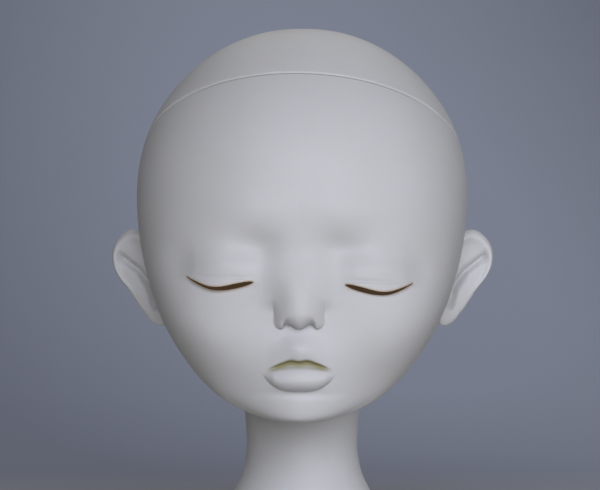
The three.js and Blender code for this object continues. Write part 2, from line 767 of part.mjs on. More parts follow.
function hookPath() {
  const curl = arc(ballCentre, curlRadius, 0.86 * Math.PI, 2 * Math.PI, 12, across, upward);
  const place = (x, distance) =>
    new THREE.Vector3(x, 0, ballHeight + Math.sqrt(distance ** 2 - x ** 2));
  const shoulder = new THREE.Vector3(0, 0, ballHeight + hookRest + hookSpread - wireRadius);
  // Out from the ball's centre as a share of curlRadius, and up as a share of the way to the floor
  const stemShares = [[0.9, 0.2], [0.45, 0.42], [0.08, 0.64], [0, 0.8], [0, 0.9]];
  const stem = [
    ...curl.slice(-1),
    ...stemShares.map(
      ([out, up]) => new THREE.Vector3(out * curlRadius, 0, ballHeight + up * hookRest),
    ),
    place(-0.12 * hookSpread, hookRest - wireRadius / 3),
    place(-0.45 * hookSpread, hookRest + wireRadius / 12),
    place(-0.8 * hookSpread, hookRest + wireRadius / 3),
  ];
  const bend = arc(shoulder, hookSpread, 1.14 * Math.PI, -0.12 * Math.PI, 14, across, upward);
  const tip = [
    place(0.84 * hookSpread, hookRest + wireRadius / 4),
    place(0.8 * hookSpread, hookRest - 0.9 * wireRadius),
  ];
  const rest = new THREE.CatmullRomCurve3([...stem, ...bend, ...tip], false, "centripetal");
  return [...curl.slice(0, -1), ...rest.getSpacedPoints(46)];
}

// The elastic goes over the hook's wire at the top and under the anchor bar at the bottom
const barHeight = counterboreDepth - seatGap - barRadius;

function elasticPath() {
  const wire = ballCentre.clone().addScaledVector(upward, -curlRadius);
  const bar = new THREE.Vector3(0, 0, barHeight);
  const top = arc(wire, curlRadius, 0, Math.PI, 12, ahead, upward);
  const roundBar = barRadius + seatGap + elasticRadius;
  return [...top, ...arc(bar, roundBar, Math.PI, 2 * Math.PI, 12, ahead, upward)];
}

function anchorBar() {
  const bar = new THREE.CylinderGeometry(barRadius, barRadius, barLength, 20).rotateZ(Math.PI / 2);
  return placed(bar, at(0, 0, barHeight));
}

// The assembly

const part = new THREE.Group();

function addPiece(name, solid, finish) {
  const mesh = new THREE.Mesh(geometryOf(solid), new THREE.MeshStandardMaterial(finish));
  mesh.name = name;
  part.add(mesh);
}

addPiece("neck", neck(), resin);
addPiece("elastic_anchor_bar", anchorBar(), steel);
addPiece("elastic_loop", rod(elasticPath(), elasticRadius, across, true), rubber);
addPiece("s_hook", rod(hookPath(), wireRadius, ahead), steel);
addPiece("head_shell", headShell(), resin);
addPiece("head_cap", headCap(), resin);
for (const [side, place] of Object.entries(magnetPlaces)) {
  addPiece(`shell_magnet_${side}`, magnet(place, -1), nickel);
  addPiece(`cap_magnet_${side}`, magnet(place, 1), nickel);
}

export default part;
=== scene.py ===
"""The looks of a ball-jointed doll's head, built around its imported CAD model.

The head, its cap, the neck, the hook and the elastic get fine surfaces in place of their CAD
nodes. The magnets and the anchor bar keep their CAD shapes. Lengths are in metres, +Z up, and the
face looks to -Y.
"""

import math

import bpy
import numpy as np
from mathutils import Matrix, Vector
from mathutils.bvhtree import BVHTree


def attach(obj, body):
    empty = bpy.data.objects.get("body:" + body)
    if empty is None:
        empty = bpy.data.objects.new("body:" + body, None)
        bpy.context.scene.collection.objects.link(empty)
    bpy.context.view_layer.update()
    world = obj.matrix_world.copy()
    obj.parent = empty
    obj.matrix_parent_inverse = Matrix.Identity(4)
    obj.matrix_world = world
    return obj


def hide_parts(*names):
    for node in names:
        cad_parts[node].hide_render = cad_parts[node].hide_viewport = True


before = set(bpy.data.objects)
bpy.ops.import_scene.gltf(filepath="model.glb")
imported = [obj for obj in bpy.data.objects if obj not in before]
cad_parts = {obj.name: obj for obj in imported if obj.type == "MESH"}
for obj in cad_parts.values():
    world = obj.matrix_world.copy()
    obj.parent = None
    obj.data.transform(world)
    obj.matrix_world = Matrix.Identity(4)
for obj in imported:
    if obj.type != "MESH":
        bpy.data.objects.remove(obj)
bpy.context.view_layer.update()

# Sizes of the head
HEAD_HEIGHT = 0.071  # chin to crown
SKULL_HALF_WIDTH = 0.0303
FACE_REACH = 0.0306  # neck axis to the forehead
BACK_REACH = 0.0341
WALL = 0.0034
CHIN_HEIGHT = 0.02

# Sizes of the cap and its magnets
SEAM_RISE = 0.0508
SEAM_TILT = math.radians(30.5)
SEAM_ROLL = math.radians(1.3)
SEAM_GAP = 0.0003
SEAM_LINE = 0.00012  # the gap that shows
SEAM_ROUND = 0.00035  # radius on the seam's edges
LIP_INSET = 0.0013
LIP_WIDTH = 0.001
LIP_HEIGHT = 0.001
MAGNET_RADIUS = 0.0025
MAGNET_THICKNESS = 0.002
MAGNET_INSET = 0.0052
BOSS_RADIUS = 0.0044
BOSS_DEPTH = 0.0055

# Sizes of the neck and what runs inside it
BALL_RISE = 0.0027
BALL_RADIUS = 0.0106
NECK_RADIUS = 0.0101
FOOT_RADIUS = 0.024
FOOT_EDGE = 0.0012
BORE_RADIUS = 0.0054
MOUTH_RADIUS = 0.0063
COUNTERBORE_RADIUS = 0.009
COUNTERBORE_DEPTH = 0.008
WIRE_RADIUS = 0.001
ELASTIC_RADIUS = 0.0015
BAR_RADIUS = 0.0015

JOINT_GAP = 0.00035
SEAT_GAP = 0.0003
OVERRUN = 0.001
FLOOR_THICKNESS = 0.0028

BALL_HEIGHT = CHIN_HEIGHT + BALL_RISE
SOCKET_RADIUS = BALL_RADIUS + JOINT_GAP
FLOOR_RADIUS = SOCKET_RADIUS + FLOOR_THICKNESS
MM = 0.001

# The outside of the head as rings from the chin to the crown, as shares of the sizes above:
# height, half width, front, back, where it is widest, and how square its front is
RING_SHARES = np.array([
    [0, 0, 0.85, -0.7628, -0.7628, 2],
    [0.003, 0.135, 0.925, -0.65, -0.73, 2],
    [0.022, 0.3, 0.945, -0.49, -0.665, 2.05],
    [0.062, 0.484, 0.96, -0.24, -0.56, 2],
    [0.119, 0.628, 0.963, 0.235, -0.36, 2.08],
    [0.183, 0.74, 0.966, 0.52, -0.206, 2.65],
    [0.254, 0.834, 0.968, 0.712, -0.103, 3.3],
    [0.338, 0.91, 0.975, 0.855, -0.015, 3.05],
    [0.437, 0.972, 0.992, 0.952, 0.05, 2.55],
    [0.563, 1.005, 1.004, 1.006, 0.088, 2.35],
    [0.676, 0.982, 0.966, 0.984, 0.094, 2.15],
    [0.775, 0.897, 0.86, 0.893, 0.094, 2.1],
    [0.862, 0.752, 0.692, 0.754, 0.094, 2.05],
    [0.927, 0.584, 0.5, 0.6, 0.091, 2],
    [0.973, 0.39, 0.285, 0.43, 0.088, 2],
    [0.998, 0.195, 0.08, 0.255, 0.088, 2],
    [1.003, 0, -0.098, 0.088, 0.088, 2],
])
LAST_RING = len(RING_SHARES) - 1


def smooth(value, low, high):
    t = np.clip((value - low) / (high - low), 0, 1)
    return t * t * (3 - 2 * t)


def bell(distance, spread):
    return np.exp(-((distance / spread) ** 2))


def window(value, shares):
    """Rises from 0 to 1 between the first two shares, and falls back between the last two."""
    start, full, fade, end = shares
    return smooth(value, start, full) * (1 - smooth(value, fade, end))


def ring_controls():
    """The ring table in metres, with one ring more past each pole, where it comes back."""
    sizes = np.array([HEAD_HEIGHT, SKULL_HALF_WIDTH, FACE_REACH, BACK_REACH, BACK_REACH, 1])
    rings = RING_SHARES * sizes
    mirrored = rings[[1, -2]] * np.array([1, -1, 1, 1, 1, 1])
    mirrored[:, [2, 3]] = -mirrored[:, [3, 2]]
    return np.vstack([mirrored[:1], rings, mirrored[1:]])


RING_CONTROLS = ring_controls()


def ring_values(rows):
    """The ring table's columns at rows between 0 and LAST_RING, on a uniform cubic B-spline."""
    first = np.clip(np.floor(rows).astype(int), 0, LAST_RING - 1)
    t = rows - first
    weights = [
        (1 - t) ** 3 / 6,
        (3 * t**3 - 6 * t**2 + 4) / 6,
        (-3 * t**3 + 3 * t**2 + 3 * t + 1) / 6,
        t**3 / 6,
    ]
    total = sum(w[:, None] * RING_CONTROLS[first + k] for k, w in enumerate(weights))
    return total.T[:, :, None]


def skull_points(rows, turns):
    """Points of the smooth head, as an array of rows by turns. A quarter turn is the face."""
    height, half_width, front, back, widest, square = ring_values(rows)
    across = np.cos(turns)[None, :]
    forward = np.sin(turns)[None, :]
    power = np.where(forward > 0, square, 2)
    reach = (np.abs(across) ** power + np.abs(forward) ** power) ** (-1 / power)
    depth = np.where(forward > 0, front + widest, back - widest)
    x = half_width * across * reach
    y = widest - depth * forward * reach
    return np.stack([x, y, CHIN_HEIGHT + height + 0 * x], axis=-1)


def skull_normals(rows, turns, step=0.01):
    along = skull_points(rows + step, turns) - skull_points(rows - step, turns)
    around = skull_points(rows, turns + step) - skull_points(rows, turns - step)
    normals = np.cross(along, around)
    return normals / np.linalg.norm(normals, axis=-1, keepdims=True)


# Sculpted features. Across is a share of SKULL_HALF_WIDTH, up of HEAD_HEIGHT and rise of
# FACE_REACH. Mounds on both sides of the face: place across and up, spread across and up, and rise
MOUND_SHARES = [
    [0.2, 0.41, 0.08, 0.055, -0.012],  # hollow beside the bridge of the nose
    [0.26, 0.438, 0.14, 0.036, -0.04],  # hollow under the inner end of the brow
    [0.7, 0.4, 0.13, 0.05, -0.024],  # hollow of the outer eye socket
    [0.32, 0.53, 0.24, 0.04, 0.014],  # brow
    [0.62, 0.175, 0.27, 0.11, 0.052],  # cheek
    [0.078, 0.249, 0.016, 0.007, -0.01],  # nostril
    [0.42, 0.02, 0.2, 0.08, -0.05],  # jaw beside the chin
]
# Mounds in the middle of the face: place up, spread across and up, and rise
MIDDLE_MOUND_SHARES = [
    [0.155, 0.21, 0.07, 0.038],  # muzzle round the mouth
    [0.016, 0.15, 0.045, 0.01],  # chin
    [0.074, 0.2, 0.012, -0.01],  # groove under the lower lip
    [0.19, 0.075, 0.032, 0.016],  # philtrum
]
NOSE_TIP_SHARE = 0.275
NOSE_ROOT_SHARE = 0.46
NOSE_RISE_SHARE = 0.108
NOSE_HALF_WIDTH_SHARE = 0.128
WINGS_HALF_WIDTH_SHARE = 0.148
NOSE_SPREAD_SHARE = 0.06  # how much wider the bridge gets towards the brow
NOSE_BASE_SHARE = 0.2355
NOSTRIL_SHARES = [0.076, 0.102, 0.0135]  # where it starts and ends across, and how far up it cuts
RIDGE_FALL = 2.8  # how fast the ridge sinks to the nose's root
RIDGE_FLATNESS = 2.4  # how flat the ridge is across
RIDGE_WIDE_SHARE = 0.9  # how far up the ridge it has its full width
UNDERSIDE_ROUND = 0.45
WINGS_ROUND = 0.8
WINGS_TOP_SHARE = 0.2  # how far up the ridge the wings fade out
WINGS_CUT = 1.6  # how far the base turns up round the wings, in nostril cuts

# The eye slit from its inner corner out: place across and up, and half height
SLIT_SHARES = np.array([
    [0.268, 0.3489, 0.001],
    [0.292, 0.3465, 0.0042],
    [0.33, 0.3423, 0.0058],
    [0.38, 0.3371, 0.0062],
    [0.43, 0.3325, 0.0055],
    [0.48, 0.3303, 0.0045],
    [0.53, 0.3323, 0.0038],
    [0.58, 0.3397, 0.003],
    [0.625, 0.3487, 0.0018],
    [0.66, 0.3572, 0.0007],
])
CREASE_SHARE = 0.3595  # height of the crease above the slit
CREASE_DEPTH_SHARE = 0.004
CREASE_HALF_WIDTH_SHARE = 0.005
LID_RISE_SHARE = 0.006
LID_ACROSS_SHARES = [0.2, 0.34, 0.6, 0.74]  # where the mound starts and ends across the face
LID_EDGE_SHARES = [0.012, 0.005]  # under and over the slit
BAND_ACROSS_SHARES = [0.26, 0.34, 0.58, 0.67]
BAND_EDGE_SHARE = 0.003
BAND_FADE_SHARE = 0.008
LID_SHARES = [0.5, 0.382, 0.22, 0.042, 0.038]  # the eyeball's mound: place, spread and rise
EYE_SKEW = 0.03  # how much lower the eye on the doll's left sits, for each unit across
SKEW_SHARES = [0.28, 0.34]  # heights between which the skew sets in

# The mouth: the line between the lips droops to its corners, with two peaks and a dip between
MOUTH_HALF_WIDTH_SHARE = 0.2
MOUTH_LINE_SHARE = 0.1563
MOUTH_DROOP_SHARE = 0.0262
MOUTH_PEAK_SHARE = 0.0022
MOUTH_DIP_SHARE = 0.0022
UPPER_LIP_RISE_SHARE = 0.024
UPPER_LIP_HEIGHT_SHARE = 0.03
LOWER_LIP_RISE_SHARE = 0.052
LOWER_LIP_FRONT_SHARE = 0.105  # height of its foremost line
LOWER_LIP_TOP_SHARE = 0.1395
LOWER_LIP_BOTTOM_SHARE = 0.0795
PARTING_SHARE = 0.018
# From here on, places and spreads along the mouth are shares of its half width
PEAK_ALONG_SHARES = [0.28, 0.15]  # place and spread of a peak
DIP_SPREAD_SHARE = 0.14
LOWER_LIP_DROOP_SHARE = 0.013
LOWER_LIP_NARROW_SHARE = 0.035  # how far its underside comes up at the corners
LOWER_LIP_TUCK_SHARE = 0.004
LOWER_LIP_TOP_BEND = 1.6
LOWER_LIP_THINNING = 0.4
LIPS_ROUND = 0.6
UPPER_LIP_END_SHARE = 1.1
LIPS_FADE_SHARES = [0.7, 1.1]
PARTING_END_SHARE = 0.45
PARTING_EDGE_SHARES = [0.002, 0.006]  # at its upper and its lower edge


def curve_through(points, steps):
    """A Catmull-Rom curve through points, with a number of steps between each two."""
    points = np.asarray(points, float)
    padded = np.vstack([points[:1], points, points[-1:]])
    found = []
    for i in range(len(points) - 1):
        a, b, c, d = padded[i:i + 4]
        for t in np.arange(steps) / steps:
            found.append(0.5 * (
                2 * b + (c - a) * t + (2 * a - 5 * b + 4 * c - d) * t**2
                + (3 * b - a - 3 * c + d) * t**3
            ))
    return np.array(found + [points[-1]])


SLIT_CURVE = curve_through(SLIT_SHARES, 8)


def nose_rise(across, up):
    """A ridge that widens to round wings and rolls under to its base, cut up at the nostrils."""
    side = np.abs(across)
    from_tip = up - NOSE_TIP_SHARE
    along = from_tip / (NOSE_ROOT_SHARE - NOSE_TIP_SHARE)
    bridge = np.clip(1 - along**2, 0, 1) ** RIDGE_FALL
    start, end, cut = NOSTRIL_SHARES
    base = NOSE_BASE_SHARE + cut * smooth(side, 0, start) * (1 - smooth(side, start, end))
    corner = np.clip((side - end) / (WINGS_HALF_WIDTH_SHARE - end), 0, 1)
    base = base + WINGS_CUT * cut * (1 - np.sqrt(1 - corner**2))
    under = np.clip(from_tip / (NOSE_TIP_SHARE - base), -1, 0)
    half_width = NOSE_HALF_WIDTH_SHARE + NOSE_SPREAD_SHARE * smooth(along, 0, RIDGE_WIDE_SHARE)
    soft = np.exp(-((side / half_width) ** RIDGE_FLATNESS))
    round_side = np.clip(1 - (side / WINGS_HALF_WIDTH_SHARE) ** 2, 0, 1) ** WINGS_ROUND
    at_wings = 1 - smooth(along, 0, WINGS_TOP_SHARE)
    section = soft + (round_side - soft) * at_wings
    profile = np.where(along > 0, bridge, (1 - under**2) ** UNDERSIDE_ROUND)
    return NOSE_RISE_SHARE * profile * section


def eyelid_rise(across, up):
    """The lid over the eyeball, which ends at the slit, and its band under the crease."""
    side = np.abs(across)
    line = np.interp(side, SLIT_CURVE[:, 0], SLIT_CURVE[:, 1])
    middle, level, wide, high, rise = LID_SHARES
    under, over = LID_EDGE_SHARES
    edge = smooth(up, line - under, line + over)
    mound = rise * bell(side - middle, wide) * bell(np.maximum(up - level, 0), high)
    lid = mound * edge * window(side, LID_ACROSS_SHARES)
    inside = window(side, BAND_ACROSS_SHARES)
    above_slit = smooth(up, line - BAND_EDGE_SHARE, line + BAND_EDGE_SHARE)
    band = above_slit * (1 - smooth(up, CREASE_SHARE - BAND_FADE_SHARE, CREASE_SHARE))
    crease = bell(up - CREASE_SHARE, CREASE_HALF_WIDTH_SHARE)
    return lid + (LID_RISE_SHARE * band - CREASE_DEPTH_SHARE * crease) * inside


def mouth_line(side):
    """Height of the line between the lips, at a share of the mouth's half width."""
    droop = MOUTH_DROOP_SHARE * side**2
    place, wide = PEAK_ALONG_SHARES
    peak = MOUTH_PEAK_SHARE * bell(side - place, wide)
    return MOUTH_LINE_SHARE - droop + peak - MOUTH_DIP_SHARE * bell(side, DIP_SPREAD_SHARE)


def lower_lip_top(side):
    return LOWER_LIP_TOP_SHARE - LOWER_LIP_DROOP_SHARE * side**2


def mouth_rise(across, up):
    """A thin upper lip that overhangs the parting, and a full lower lip under it."""
    side = np.abs(across) / MOUTH_HALF_WIDTH_SHARE
    line = mouth_line(side)
    over_line = (up - line) / UPPER_LIP_HEIGHT_SHARE
    roll = (1 - (1 - np.clip(over_line, 0, 1)) ** 2) ** LIPS_ROUND
    upper = roll * bell(np.maximum(over_line - 1, 0), 1)
    top = lower_lip_top(side)
    bottom = LOWER_LIP_BOTTOM_SHARE + LOWER_LIP_NARROW_SHARE * side**3
    front = bottom + (top - bottom) * (LOWER_LIP_FRONT_SHARE - LOWER_LIP_BOTTOM_SHARE) / (
        LOWER_LIP_TOP_SHARE - LOWER_LIP_BOTTOM_SHARE)
    below_front = np.clip((front - up) / (front - bottom), 0, 1)
    above_front = np.clip((up - front) / (top + LOWER_LIP_TUCK_SHARE - front), 0, 1)
    full = (1 - below_front**2) ** LIPS_ROUND * (1 - above_front**LOWER_LIP_TOP_BEND)
    upper_edge, lower_edge = PARTING_EDGE_SHARES
    parting = 1 - smooth(up - line, -upper_edge, upper_edge)
    parting = parting * smooth(up, top - lower_edge, top + lower_edge)
    rise = UPPER_LIP_RISE_SHARE * upper * (1 - smooth(side, 0, UPPER_LIP_END_SHARE))
    rise = rise + LOWER_LIP_RISE_SHARE * full * (1 - LOWER_LIP_THINNING * side**2)
    inside = 1 - smooth(side, *LIPS_FADE_SHARES)
    return rise * inside - PARTING_SHARE * parting * (1 - smooth(side, PARTING_END_SHARE, 1))


def eye_level(x, up):
    """Height on the face with the eyes' skew taken out."""
    return up + EYE_SKEW * x / HEAD_HEIGHT * smooth(up, *SKEW_SHARES)


def face_rise(x, height):
    """How far the face stands out, in metres."""
    across = x / SKULL_HALF_WIDTH
    up = height / HEAD_HEIGHT
    level_up = eye_level(x, up)
    rise = nose_rise(across, up) + eyelid_rise(across, level_up) + mouth_rise(across, up)
    for middle, level, wide, high, out in MOUND_SHARES:
        rise = rise + out * bell(np.abs(across) - middle, wide) * bell(level_up - level, high)
    for level, wide, high, out in MIDDLE_MOUND_SHARES:
        rise = rise + out * bell(across, wide) * bell(up - level, high)
    return rise * FACE_REACH


# Meshes

def mesh_object(name, points, faces):
    mesh = bpy.data.meshes.new(name)
    mesh.from_pydata([tuple(p) for p in points], [], faces)
    mesh.validate()
    made = bpy.data.objects.new(name, mesh)
    bpy.context.scene.collection.objects.link(made)
    return made


def ring_mesh(name, rings, closed=False, poles=None):
    """A closed mesh through rings of points. It ends in flat faces, in two poles, or in itself."""
    count, size = rings.shape[:2]
    points = list(rings.reshape(-1, 3))

    def at(r, c):
        return (r % count) * size + c % size

    faces = [
        (at(r, c), at(r + 1, c), at(r + 1, c + 1), at(r, c + 1))
        for r in range(count if closed else count - 1)
        for c in range(size)
    ]
    if poles is not None:
        first, last = len(points), len(points) + 1
        points += list(poles)
        faces += [(first, at(0, c), at(0, c + 1)) for c in range(size)]
        faces += [(last, at(count - 1, c + 1), at(count - 1, c)) for c in range(size)]
    elif not closed:
        faces.append(tuple(at(0, c) for c in range(size)))
        faces.append(tuple(at(count - 1, c) for c in reversed(range(size))))
    made = mesh_object(name, points, faces)
    face_outwards(made)
    return made


def face_outwards(piece):
    """Turns a closed mesh's faces outwards, if its volume says that they face in."""
    mesh = piece.data
    mesh.calc_loop_triangles()
    corners = np.empty(len(mesh.loop_triangles) * 3, int)
    mesh.loop_triangles.foreach_get("vertices", corners)
    points = vertex_points(piece)[corners].reshape(-1, 3, 3)
    volume = np.einsum("ij,ij->i", points[:, 0], np.cross(points[:, 1], points[:, 2])).sum()
    if volume < 0:
        mesh.flip_normals()


def vertex_points(piece):
    points = np.empty(len(piece.data.vertices) * 3, np.float32)
    piece.data.vertices.foreach_get("co", points)
    return points.reshape(-1, 3).astype(float)


def combine(piece, other, operation, keep=False):
    """Joins or cuts piece with other, and drops other unless it is kept."""
    modifier = piece.modifiers.new("combine", "BOOLEAN")
    modifier.operation = operation
    modifier.solver = "MANIFOLD"
    modifier.object = other
    bpy.context.view_layer.update()
    evaluated = piece.evaluated_get(bpy.context.evaluated_depsgraph_get())
    made = bpy.data.meshes.new_from_object(evaluated)
    piece.modifiers.clear()
    old = piece.data
    piece.data = made
    bpy.data.meshes.remove(old)
    if not keep:
        drop(other)
    return piece


def drop(piece):
    mesh = piece.data
    bpy.data.objects.remove(piece)
    bpy.data.meshes.remove(mesh)


def copy_of(piece, name):
    made = bpy.data.objects.new(name, piece.data.copy())
    bpy.context.scene.collection.objects.link(made)
    return made


def shade(piece, sharp_angle=math.radians(34)):
    piece.data.polygons.foreach_set("use_smooth", [True] * len(piece.data.polygons))
    piece.data.set_sharp_from_angle(angle=sharp_angle)


def spans(pieces):
    """Even steps over several spans of [start, end, steps]. The last end is left out."""
    return np.concatenate([np.linspace(a, b, n, endpoint=False) for a, b, n in pieces])


def head_skin(name, rows, turns, depth=None):
    """The head's outer skin with its features, or the plain skull a depth under its surface."""
    inner = rows[1:-1]
    points = skull_points(inner, turns)
    poles = skull_points(rows[[0, -1]], turns[:1])[:, 0]
    if depth is None:
        facing = smooth(np.sin(turns), 0.05, 0.5)[None, :]
        points[..., 1] -= facing * face_rise(points[..., 0], points[..., 2] - CHIN_HEIGHT)
    else:
        points -= depth * skull_normals(inner, turns)
        poles[:, 2] += [depth, -depth]
    return ring_mesh(name, points, poles=poles)


def degrees(*values):
    return [math.radians(value) for value in values]


FINE_ROWS = np.append(spans([[0, 2.8, 30], [2.8, 7.7, 216], [7.7, 16, 90]]), LAST_RING)
FINE_TURNS = spans([
    [*degrees(-30, 38), 36],
    [*degrees(38, 142), 230],
    [*degrees(142, 210), 36],
    [*degrees(210, 330), 60],
])
PLAIN_ROWS = np.linspace(0, LAST_RING, 90)
PLAIN_TURNS = np.linspace(0, 2 * math.pi, 128, endpoint=False)


def plain_skin(depth):
    return head_skin("inset", PLAIN_ROWS, PLAIN_TURNS, depth)


def ball(radius, centre, size=96):
    polar = np.linspace(0, math.pi, size // 2 + 1)[1:-1, None]
    around = np.linspace(0, 2 * math.pi, size, endpoint=False)[None, :]
    rings = np.stack([
        radius * np.sin(polar) * np.cos(around),
        radius * np.sin(polar) * np.sin(around),
        radius * np.cos(polar) + 0 * around,
    ], axis=-1) + centre
    poles = np.array([[0, 0, radius], [0, 0, -radius]]) + centre
    return ring_mesh("ball", rings, poles=poles)


def turned(name, profile, size=128):
    """A turned solid about the vertical axis. Its profile starts and ends on the axis."""
    around = np.linspace(0, 2 * math.pi, size, endpoint=False)
    radius = np.array([r for r, _ in profile[1:-1]])[:, None]
    height = np.array([h for _, h in profile[1:-1]])[:, None]
    columns = [radius * np.cos(around), radius * np.sin(around), height + 0 * around]
    rings = np.stack(columns, axis=-1)
    poles = np.array([[0, 0, profile[0][1]], [0, 0, profile[-1][1]]])
    return ring_mesh(name, rings, poles=poles)


# The ear

EAR_HEIGHT = 0.0176
EAR_WIDTH = 0.0099
EAR_THICKNESS = 0.0019
EAR_LEAN = math.radians(72)
EAR_SPLAY = math.radians(17)
EAR_TILT = math.radians(9)
EAR_RISE = 0.0262
EAR_DEPTH = 0.0032
EAR_ROOT = 0.0265
EAR_OUTLINE_SHARES = [
    [0, 0.258],
    [0.06, 0.335],
    [0.116, 0.435],
    [0.16, 0.495],
    [0.21, 0.525],
    [0.27, 0.53],
    [0.34, 0.44],
    [0.45, 0.3],
    [0.56, 0.28],
    [0.66, 0.36],
    [0.72, 0.53],
    [0.765, 0.47],
    [0.8, 0.36],
    [0.86, 0.27],
    [0.93, 0.235],
]
# The fold that parts the ear's rim from its inner plane: places across and up
EAR_FOLD_SHARES = [[0.19, 0.3], [0.02, 0.1], [-0.06, -0.1], [-0.05, -0.3]]
# Relief on the ear: its rise, as a share of the ear's thickness, and its spread
HELIX_SHARES = [0.35, 0.13]
HELIX_PLACE_SHARE = 0.88  # how far out from the middle the rim's ridge runs
HELIX_START_SHARES = [-0.2, 0.2]  # heights between which the ridge sets in
FOLD_SHARES = [-0.6, 0.04]
CONCHA_SHARES = [-0.35, 0.11]
CONCHA_PLACE_SHARES = [-0.1, -0.05]
EAR_MIDDLE_SHARE = 0.28  # root to the outline's middle, in ear widths
EAR_STRETCH = 1.36  # the outline is stretched across by twice EAR_WIDTH over this share of EAR_HEIGHT
EAR_CURL_SHARE = 0.16
EAR_THINNING = 0.75
EAR_EDGE_POWER = 16


def ear_reach(turn_shares):
    """The ear's outline round its middle, on a curve through EAR_OUTLINE_SHARES."""
    count = len(EAR_OUTLINE_SHARES)
    places = np.array([place for place, _ in EAR_OUTLINE_SHARES] + [1])
    values = np.array([value for _, value in EAR_OUTLINE_SHARES])
    i = np.clip(np.searchsorted(places, turn_shares, side="right") - 1, 0, count - 1)
    t = (turn_shares - places[i]) / (places[i + 1] - places[i])
    a, b, c, d = (values[(i + k) % count] for k in (-1, 0, 1, 2))
    return 0.5 * (
        2 * b + (c - a) * t + (2 * a - 5 * b + 4 * c - d) * t**2
        + (3 * b - a - 3 * c + d) * t**3
    )


def from_fold(across, up):
    """Distance from the ear's fold."""
    nearest = np.full(np.broadcast(across, up).shape, 1.0)
    for (x0, z0), (x1, z1) in zip(EAR_FOLD_SHARES, EAR_FOLD_SHARES[1:]):
        dx, dz = x1 - x0, z1 - z0
        t = np.clip(((across - x0) * dx + (up - z0) * dz) / (dx * dx + dz * dz), 0, 1)
        nearest = np.minimum(nearest, np.hypot(across - x0 - t * dx, up - z0 - t * dz))
    return nearest


def ear_relief(distance, turn):
    """The rim's ridge, the fold and the hollow, at a share of the way out and a turn."""
    reach = distance * ear_reach(turn / (2 * math.pi))
    across, up = reach * np.cos(turn), reach * np.sin(turn)
    rise, wide = HELIX_SHARES
    start = smooth(up, *HELIX_START_SHARES)
    helix = rise * bell(distance - HELIX_PLACE_SHARE, wide) * start
    rise, wide = FOLD_SHARES
    fold = rise * bell(from_fold(across, up), wide)
    rise, wide = CONCHA_SHARES
    x, z = CONCHA_PLACE_SHARES
    return helix + fold + rise * bell(np.hypot(across - x, up - z), wide)


def ear(side):
    """A thin leaning plate with relief, as rings from the front's middle round to the rear's."""
    up = np.array([math.tan(EAR_SPLAY), math.tan(EAR_TILT), 1])
    up /= np.linalg.norm(up)
    plate = np.array([math.cos(EAR_LEAN), -math.sin(EAR_LEAN), 0])
    face = plate - up * (plate @ up)
    face /= np.linalg.norm(face)
    out = np.cross(up, face)
    root = np.array([EAR_ROOT, EAR_DEPTH, CHIN_HEIGHT + EAR_RISE])
    middle = root + EAR_MIDDLE_SHARE * EAR_WIDTH * out
    turns = np.linspace(0, 2 * math.pi, 120, endpoint=False)[None, :]
    distance = np.sin(np.linspace(0, math.pi / 2, 40)[1:])[:, None]
    reach = distance * ear_reach(turns / (2 * math.pi)) * EAR_HEIGHT
    across = reach * np.cos(turns) * 2 * EAR_WIDTH / (EAR_STRETCH * EAR_HEIGHT)
    flat = middle + across[..., None] * out + (reach * np.sin(turns))[..., None] * up
    curl = EAR_CURL_SHARE * distance**2 * EAR_THICKNESS
    thick = 0.5 * EAR_THICKNESS * np.sqrt(np.clip(1 - EAR_THINNING * distance**4, 0, 1))
    edge = np.sqrt(np.clip(1 - distance**EAR_EDGE_POWER, 0, 1))
    front = (thick + EAR_THICKNESS * ear_relief(distance, turns)) * edge + curl
    rear = (-thick - 0.5 * EAR_THICKNESS * bell(distance, 0.5)) * edge + curl
    front_rings = flat + front[..., None] * face
    rear_rings = flat + (rear + 0 * turns)[..., None] * face
    rings = np.vstack([front_rings, rear_rings[:-1][::-1]])
    relief = EAR_THICKNESS * (0.5 + float(ear_relief(0, 0)))
    poles = np.array([middle + relief * face, middle - EAR_THICKNESS * face])
    mirror = np.array([side, 1, 1])
    return ring_mesh("ear", rings * mirror, poles=poles * mirror)


# The seam between head and cap

SEAM_FRAME = (
    Matrix.Translation((0, 0, CHIN_HEIGHT + SEAM_RISE))
    @ Matrix.Rotation(-SEAM_TILT, 4, "X")
    @ Matrix.Rotation(SEAM_ROLL, 4, "Y")
)


def seam_block(low, high):
    """A block over the whole head, between two levels of the seam's frame."""
    side = 2 * BACK_REACH
    corners = [(-side, -side), (side, -side), (side, side), (-side, side)]
    rings = np.array([[SEAM_FRAME @ Vector((x, y, z)) for x, y in corners] for z in (low, high)])
    return ring_mesh("block", rings)


def seam_round(radius, low, high, place, size=64):
    """A round bar square to the seam, between two levels of its frame."""
    around = np.linspace(0, 2 * math.pi, size, endpoint=False)
    outline = [(place[0] + radius * math.cos(a), place[1] + radius * math.sin(a)) for a in around]
    rings = np.array([[SEAM_FRAME @ Vector((x, y, z)) for x, y in outline] for z in (low, high)])
    return ring_mesh("round", rings)


def seam_edge(turns):
    """Where the seam's plane meets the head, in the seam's frame, for each turn."""
    inverse = np.array(SEAM_FRAME.inverted())
    low, high = np.zeros(len(turns)), np.full(len(turns), float(LAST_RING))

    def seam_points(rows):
        points = skull_points(rows, turns)[np.arange(len(turns)), np.arange(len(turns))]
        return points @ inverse[:3, :3].T + inverse[:3, 3]

    for _ in range(40):
        rows = (low + high) / 2
        under = seam_points(rows)[:, 2] < 0
        low, high = np.where(under, rows, low), np.where(under, high, rows)
    return seam_points(low)


def magnet_places():
    angles = np.radians([0, 90, 180, 270])
    edge = seam_edge(angles)
    inward = np.stack([-np.cos(angles), np.sin(angles)], axis=-1)
    return edge[:, :2] + inward * MAGNET_INSET


PLACES = magnet_places()


